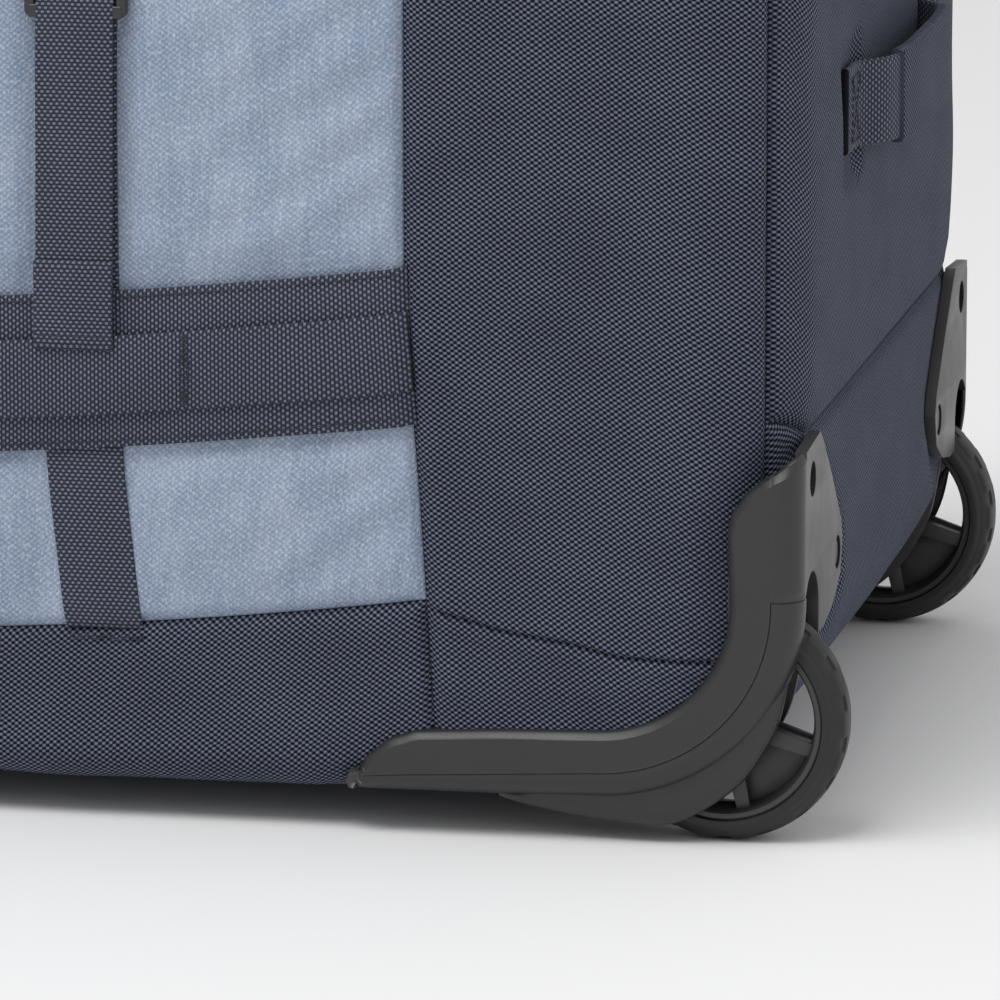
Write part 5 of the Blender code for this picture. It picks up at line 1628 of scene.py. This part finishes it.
def make_wheel(word, side):
    """A moulded wheel centre with six ribs and a rubber tyre, spinning on its axle."""
    centre = (WHEEL_X, side * WHEEL_Y, WHEEL_Z)
    body = f"wheel_{word}"
    half = []
    for t in np.linspace(0, math.pi / 2, 26):
        half.append((0.0102 * math.cos(t) ** 0.75, TYRE_SEAT + (TYRE_RADIUS - TYRE_SEAT) * math.sin(t) ** 0.75))
    profile = half + [(-a, r) for a, r in reversed(half[:-1])]
    profile += [(-0.0088, TYRE_SEAT - 0.0004), (0.0088, TYRE_SEAT - 0.0004), half[0]]
    tyre = new_piece(f"tyre_{word}_rubber", turned_grid(f"tyre_{word}_rubber", profile, 360, centre, tread), "rubber")
    crisp(tyre, 30)
    place_piece(tyre, "tyre_rubber", f"tyre_{word}", body=body)

    wide, inner, hub, web = 0.0088, 0.0290, 0.0130, 0.0012
    ring = [(-wide, TYRE_SEAT - 0.0003), (wide, TYRE_SEAT - 0.0003), (wide + 0.0004, 0.0310), (wide + 0.0002, 0.0296),
            (wide - 0.0006, inner), (web + 0.001, inner - 0.0009), (web, inner - 0.0012)]
    ring = ring + [(-a, r) for a, r in reversed(ring[1:])]
    ring += [ring[0]]
    pieces = [turned_grid(f"rim_{word}_ring", ring, 192, centre)]
    core = [(wide - 0.0006, 0.0092), (wide, 0.0098), (wide, hub - 0.0007), (wide - 0.0007, hub), (0.0, hub + 0.0005),
            (0.0007 - wide, hub), (-wide, hub - 0.0007), (-wide, 0.0098), (0.0006 - wide, 0.0092),
            (wide - 0.0006, 0.0092)]
    pieces.append(turned_grid(f"rim_{word}_hub", core, 96, centre))
    builder = bmesh.new()
    for mesh in pieces:
        builder.from_mesh(mesh)
        bpy.data.meshes.remove(mesh)
    step = 2 * math.pi / SPOKES
    spokes = bmesh.new()
    for k in range(SPOKES):
        angle = SPOKE_ANGLE + k * step
        along = np.array((math.cos(angle), math.sin(angle)))
        across = np.array((-along[1], along[0]))
        middle = np.array((WHEEL_X, WHEEL_Z))
        near, far = middle + along * (hub - 0.001), middle + along * (inner + 0.0006)
        for low, high, thick in ((-0.0056, 0.0056, 0.0012), (0.0042, 0.0060, 0.0022), (-0.0060, -0.0042, 0.0022)):
            outline = [near - across * thick * 1.25, far - across * thick, far + across * thick,
                       near + across * thick * 1.25]
            solid_prism(spokes, [tuple(p) for p in outline], "Y", centre[1] + low, centre[1] + high)
        if k % 2:
            start, end = math.degrees(angle), math.degrees(angle + step)
            sector = arc((WHEEL_X, WHEEL_Z), inner + 0.0004, start, end, 5)
            sector += arc((WHEEL_X, WHEEL_Z), hub - 0.0004, end, start, 9)
            solid_prism(spokes, sector, "Y", centre[1] - web, centre[1] + web)
    round_edges(spokes, 0.0004, 2, 50)
    scratch = bpy.data.meshes.new("ribs")
    spokes.to_mesh(scratch)
    spokes.free()
    builder.from_mesh(scratch)
    bpy.data.meshes.remove(scratch)
    rim = built_piece(builder, f"rim_{word}_wheel", "wheel")
    crisp(rim)
    place_piece(rim, "rim_plastic", f"rim_{word}", body=body)
    cad_finish(f"bearing_{word}", "steel")
    cad_finish(f"axle_{word}", "steel")


# ---------------------------------------------------------------- pull handle, feet and inside

def make_pull_handle():
    """Two-stage tubes, a bezel with its screws and a grip with finger waves and a release button."""
    for word in SIDES:
        cad_finish(f"outer_tube_{word}", "tube")
        cad_finish(f"inner_tube_{word}", "tube")
    low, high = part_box("handle_bezel")
    builder = bmesh.new()
    rings = [rounded_rectangle((low.y, low.z), (high.y, high.z), 0.008, 10)]
    tube_low, tube_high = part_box("inner_tube_left")
    for side in SIDES.values():
        middle = side * (tube_low.y + tube_high.y) / 2
        half = (tube_high.y - tube_low.y) / 2 + 0.0006
        rings.append(rounded_rectangle((middle - half, tube_low.z - 0.0006), (middle + half, tube_high.z + 0.0006),
                                       0.0032, 15))
    pierced_plate(builder, rings, low.x, high.x)
    round_edges(builder, 0.0008, 3, 60)
    bezel = built_piece(builder, "handle_bezel_plate", "moulding")
    crisp(bezel)
    place_piece(bezel, "black_plastic", "handle_bezel")
    builder = bmesh.new()
    for y in (-0.097, -0.045, 0.045, 0.097):
        z = low.z + 0.010 if abs(y) > 0.09 else high.z - 0.008
        head = arc((y, z), 0.0032, 0, 345, 15)
        solid_prism(builder, head, "X", low.x - 0.0007, low.x + 0.0004)
        for a in (0, 90):
            c, s = math.cos(math.radians(a + 20)), math.sin(math.radians(a + 20))
            slot = [(y + c * u - s * v, z + s * u + c * v) for u, v in
                    ((-0.0019, -0.0003), (0.0019, -0.0003), (0.0019, 0.0003), (-0.0019, 0.0003))]
            solid_prism(builder, slot, "X", low.x - 0.00085, low.x - 0.0006)
    round_edges(builder, 0.0002, 2, 60)
    screws = built_piece(builder, "handle_bezel_screws", "steel")
    crisp(screws)
    place_piece(screws, "steel")

    low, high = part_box("grip")
    y = np.linspace(low.y, high.y, 95)
    turn = np.linspace(0, 2 * math.pi, 41)
    mid_x, mid_z = (low.x + high.x) / 2, (low.z + high.z) / 2
    half_x, half_z = (high.x - low.x) / 2, (high.z - low.z) / 2
    yy, tt = np.meshgrid(y, turn, indexing="ij")
    end_run = np.minimum(yy - low.y, high.y - yy)
    round_end = np.sqrt(np.clip(1 - np.square(np.clip(1 - end_run / 0.009, 0, 1)), 0.0, 1))
    wave = 1 - 0.07 * (0.5 - 0.5 * np.cos(yy * 2 * math.pi / 0.0235)) * smooth_step(0.062 - np.abs(yy), 0.0, 0.012)
    power = 0.55
    cx = np.sign(np.cos(tt)) * np.abs(np.cos(tt)) ** power
    cz = np.sign(np.sin(tt)) * np.abs(np.sin(tt)) ** power
    pocket = (np.abs(yy) < 0.0137) & (cx < -0.6)
    x = mid_x + half_x * cx * (0.35 + 0.65 * round_end)
    x = np.where(pocket, np.maximum(x, -0.3692), x)
    z = mid_z + half_z * cz * np.maximum(round_end, 0.02) * wave
    points = np.stack((x, yy, z), -1)
    mesh = grid_mesh("grip_body", points, np.stack((lengths(points, 0), lengths(points, 1)), -1))
    builder = bmesh.new()
    builder.from_mesh(mesh)
    builder.verts.ensure_lookup_table()
    columns = len(turn)
    for row in (0, len(y) - 1):
        builder.faces.new([builder.verts[row * columns + k] for k in range(columns - 1)])
    bmesh.ops.remove_doubles(builder, verts=builder.verts, dist=1e-6)
    bmesh.ops.recalc_face_normals(builder, faces=builder.faces)
    builder.to_mesh(mesh)
    builder.free()
    grip = new_piece("grip_body", mesh, "moulding")
    crisp(grip, 50)
    place_piece(grip, "black_plastic", "grip", body="pull_handle")

    low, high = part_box("grip_button")
    builder = bmesh.new()
    solid_prism(builder, rounded_rectangle((low.y, low.z), (high.y, high.z), 0.003), "X", low.x + 0.0004, high.x)
    for k in range(-4, 5):
        solid_prism(builder, rounded_rectangle((k * 0.0022 - 0.0005, low.z + 0.0014),
                                               (k * 0.0022 + 0.0005, high.z - 0.0014), 0.0004, 30),
                    "X", low.x, low.x + 0.0008)
    round_edges(builder, 0.0003, 2, 50)
    button = built_piece(builder, "grip_button_cap", "button")
    crisp(button)
    place_piece(button, "button_plastic", "grip_button", body="button")


def make_feet():
    """Rubber feet at the handle end, each with moulded grooves and a screw recess."""
    for word in SIDES:
        low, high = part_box(f"foot_{word}")
        builder = bmesh.new()
        outline = rounded_rectangle((low.x, low.y), (high.x, high.y), 0.012, 10)
        middle = ((low.x + high.x) / 2, (low.y + high.y) / 2)

        def level(z, scale):
            return [builder.verts.new((middle[0] + (a - middle[0]) * scale, middle[1] + (b - middle[1]) * scale, z))
                    for a, b in outline]

        rings = [level(high.z, 1.0), level(0.0046, 1.0), level(0.0040, 0.975), level(0.0034, 0.975),
                 level(0.0028, 0.995), level(0.0010, 0.975), level(0.0, 0.93), level(0.0, 0.42), level(0.0030, 0.36),
                 level(0.0030, 0.05)]
        for a, b in zip(rings, rings[1:]):
            for i in range(len(a)):
                j = (i + 1) % len(a)
                builder.faces.new((a[i], a[j], b[j], b[i]))
        builder.faces.new(rings[0])
        builder.faces.new(rings[-1])
        foot = built_piece(builder, f"foot_{word}_pad", "rubber")
        crisp(foot)
        place_piece(foot, "tyre_rubber", f"foot_{word}")


def make_inside():
    """The quilted floor panel and the board under it, seen when the lid is open."""
    low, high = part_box("floor_panel")
    x, y = np.meshgrid(np.linspace(low.x, high.x, 260), np.linspace(low.y, high.y, 140), indexing="ij")
    edge = np.minimum(np.minimum(x - low.x, high.x - x), np.minimum(y - low.y, high.y - y))
    pitch = 0.055
    one = np.abs(((x + y) / pitch) % 1 - 0.5) * pitch
    two = np.abs(((x - y) / pitch) % 1 - 0.5) * pitch
    quilt = 1 - np.exp(-np.minimum(one, two) / 0.006)
    lift = 0.0028 * quilt * (1 - np.exp(-edge / 0.004))
    points = np.stack((x, y, (low.z + high.z) / 2 - 0.0012 + lift), -1)
    panel = new_piece("floor_panel_quilt", grid_mesh("floor_panel_quilt", points, np.stack((x, y), -1)), "lining")
    shell = panel.modifiers.new("backing", "SOLIDIFY")
    shell.thickness, shell.offset = 0.0015, -1.0
    place_piece(panel, "lining_fabric", "floor_panel")
    cad_finish("base_board", "board")


# ---------------------------------------------------------------- stage

TARGET = Vector((0.2742, -0.190, 0.112))


def area_light(name, spot, aim, size, power):
    light = bpy.data.lights.new(name, "AREA")
    light.shape = "RECTANGLE"
    light.size, light.size_y, light.energy = *size, power
    lamp = bpy.data.objects.new(name, light)
    lamp.location = spot
    lamp.rotation_euler = (Vector(aim) - Vector(spot)).to_track_quat("-Z", "Y").to_euler()
    lamp.visible_camera = False
    bpy.context.scene.collection.objects.link(lamp)


def make_stage():
    """A wide pale floor, even white surroundings, soft lights and the camera."""
    scene = bpy.context.scene
    stage = scene.duffel_stage
    builder = bmesh.new()
    rings = []
    for radius in (0.6, 1.5, 4.0, 12.0, 40.0):
        rings.append([builder.verts.new((radius * math.cos(t), radius * math.sin(t), 0.0))
                      for t in np.linspace(0, 2 * math.pi, 97)[:-1]])
    builder.faces.new(rings[0])
    for inner, outer in zip(rings, rings[1:]):
        for i in range(96):
            j = (i + 1) % 96
            builder.faces.new((inner[i], outer[i], outer[j], inner[j]))
    floor = built_piece(builder, "studio_floor", "floor")

    world = bpy.data.worlds.new("studio")
    world.use_nodes = True
    background = world.node_tree.nodes["Background"]
    background.inputs["Color"].default_value = (1.0, 1.0, 1.0, 1.0)
    background.inputs["Strength"].default_value = stage.sky
    scene.world = world
    area_light("key_light", (-0.6, -1.6, 3.2), (0.2, 0.0, 0.15), (2.4, 1.6), stage.key)
    area_light("end_light", (3.0, 0.4, 1.8), (0.36, 0.0, 0.1), (1.6, 1.6), stage.key * 0.12)
    scene.view_settings.view_transform = "Standard"

    azimuth, elevation = stage.azimuth, stage.elevation
    back = Vector((math.sin(azimuth) * math.cos(elevation), -math.cos(azimuth) * math.cos(elevation),
                   math.sin(elevation)))
    lens = bpy.data.cameras.new("studio_camera")
    lens.lens, lens.sensor_width, lens.clip_end = stage.lens, 36.0, 200.0
    camera = bpy.data.objects.new("studio_camera", lens)
    camera.location = TARGET + back * stage.distance
    camera.rotation_euler = (-back).to_track_quat("-Z", "Y").to_euler()
    scene.collection.objects.link(camera)
    scene.camera = camera


# ---------------------------------------------------------------- operators

class DuffelStep:
    """What every step of the bag shares: a failure stops the whole bag."""

    bl_options = {"REGISTER", "UNDO"}
    steps = ()

    def execute(self, context):
        for step in self.steps:
            step()
        return {"FINISHED"}


def make_side_panels():
    for word, side in SIDES.items():
        cloth_panel(f"side_panel_{word}_cloth", side_panel_grid(side), np.array((0, side, 0.0)), "heather",
                    "heather_fabric", (f"side_panel_{word}",), side_bulge)


def make_end_wraps():
    for word, side in SIDES.items():
        for end_word, end in (("wheel", 1), ("handle", -1)):
            base = wrap_grid(end, side)
            line = wrap_seam(base) if end > 0 else None
            cloth_panel(f"{end_word}_end_wrap_{word}_cloth", base, np.array((0.4 * end, side, 0.0)), "navy",
                        "navy_fabric", (f"{end_word}_end_wrap_{word}",), wrap_bulge(end), line=line)


def make_corner_mouldings():
    for word, side in SIDES.items():
        make_guard(word, side)
        make_housing(word, side)


def make_wheels():
    for word, side in SIDES.items():
        make_wheel(word, side)


class DUFFEL_OT_panels(DuffelStep, bpy.types.Operator):
    """Light blue side panels and the dark cloth round the ends and under the bag"""

    bl_idname = "duffel.panels"
    bl_label = "Body Panels"
    steps = (make_side_panels, make_end_wraps, make_end_panels, make_base_tub, make_top_frame)


class DUFFEL_OT_lid(DuffelStep, bpy.types.Operator):
    """Hinged lid with its edge stitching"""

    bl_idname = "duffel.lid"
    bl_label = "Lid"
    steps = (make_lid,)


class DUFFEL_OT_zip(DuffelStep, bpy.types.Operator):
    """Zip teeth, tape, sliders and pulls"""

    bl_idname = "duffel.zip"
    bl_label = "Zip"
    steps = (make_zip,)


class DUFFEL_OT_webbing(DuffelStep, bpy.types.Operator):
    """Webbing along both sides with its bar tacks"""

    bl_idname = "duffel.webbing"
    bl_label = "Side Webbing"
    steps = (make_side_webbing,)


class DUFFEL_OT_straps(DuffelStep, bpy.types.Operator):
    """Compression straps, ladder locks and buckle loops"""

    bl_idname = "duffel.straps"
    bl_label = "Compression Straps"
    steps = (make_straps,)


class DUFFEL_OT_handles(DuffelStep, bpy.types.Operator):
    """Carrying handles on the sides and ends"""

    bl_idname = "duffel.handles"
    bl_label = "Carrying Handles"
    steps = (make_side_handles, make_end_handles)


class DUFFEL_OT_mouldings(DuffelStep, bpy.types.Operator):
    """Corner guards and wheel housings"""

    bl_idname = "duffel.mouldings"
    bl_label = "Corner Mouldings"
    steps = (make_corner_mouldings,)


class DUFFEL_OT_wheels(DuffelStep, bpy.types.Operator):
    """Wheels, tyres, bearings and axles"""

    bl_idname = "duffel.wheels"
    bl_label = "Wheels"
    steps = (make_wheels,)


class DUFFEL_OT_pull_handle(DuffelStep, bpy.types.Operator):
    """Telescoping pull handle with its bezel, grip and button"""

    bl_idname = "duffel.pull_handle"
    bl_label = "Pull Handle"
    steps = (make_pull_handle,)


class DUFFEL_OT_feet(DuffelStep, bpy.types.Operator):
    """Rubber feet at the handle end"""

    bl_idname = "duffel.feet"
    bl_label = "Feet"
    steps = (make_feet,)


class DUFFEL_OT_inside(DuffelStep, bpy.types.Operator):
    """Quilted floor panel and the board under it"""

    bl_idname = "duffel.inside"
    bl_label = "Inside"
    steps = (make_inside,)


class DUFFEL_OT_stage(DuffelStep, bpy.types.Operator):
    """Floor, lights and camera"""

    bl_idname = "duffel.stage"
    bl_label = "Stage"
    steps = (make_stage,)


OPERATORS = (DUFFEL_OT_panels, DUFFEL_OT_lid, DUFFEL_OT_zip, DUFFEL_OT_webbing, DUFFEL_OT_straps,
             DUFFEL_OT_handles, DUFFEL_OT_mouldings, DUFFEL_OT_wheels, DUFFEL_OT_pull_handle, DUFFEL_OT_feet,
             DUFFEL_OT_inside, DUFFEL_OT_stage)


class DUFFEL_PT_panel(bpy.types.Panel):
    """Settings of the bag and the steps that make it"""

    bl_label = "Rolling Duffel Bag"
    bl_idname = "DUFFEL_PT_panel"
    bl_space_type = "VIEW_3D"
    bl_region_type = "UI"
    bl_category = "Duffel"

    def draw(self, context):
        for name, settings in SETTINGS.items():
            box = self.layout.box()
            for key in settings.__annotations__:
                box.prop(getattr(context.scene, name), key)
        for operator in OPERATORS:
            self.layout.operator(operator.bl_idname)


CLASSES = (*SETTINGS.values(), *OPERATORS, DUFFEL_PT_panel)


def register():
    for cls in CLASSES:
        bpy.utils.register_class(cls)
    for name, settings in SETTINGS.items():
        setattr(bpy.types.Scene, name, PointerProperty(type=settings))


def unregister():
    for name in SETTINGS:
        delattr(bpy.types.Scene, name)
    for cls in reversed(CLASSES):
        bpy.utils.unregister_class(cls)


def main():
    register()
    for step in (bpy.ops.duffel.panels, bpy.ops.duffel.lid, bpy.ops.duffel.zip, bpy.ops.duffel.webbing,
                 bpy.ops.duffel.straps, bpy.ops.duffel.handles, bpy.ops.duffel.mouldings, bpy.ops.duffel.wheels,
                 bpy.ops.duffel.pull_handle, bpy.ops.duffel.feet, bpy.ops.duffel.inside, bpy.ops.duffel.stage):
        step()


if __name__ == "__main__":
    main()
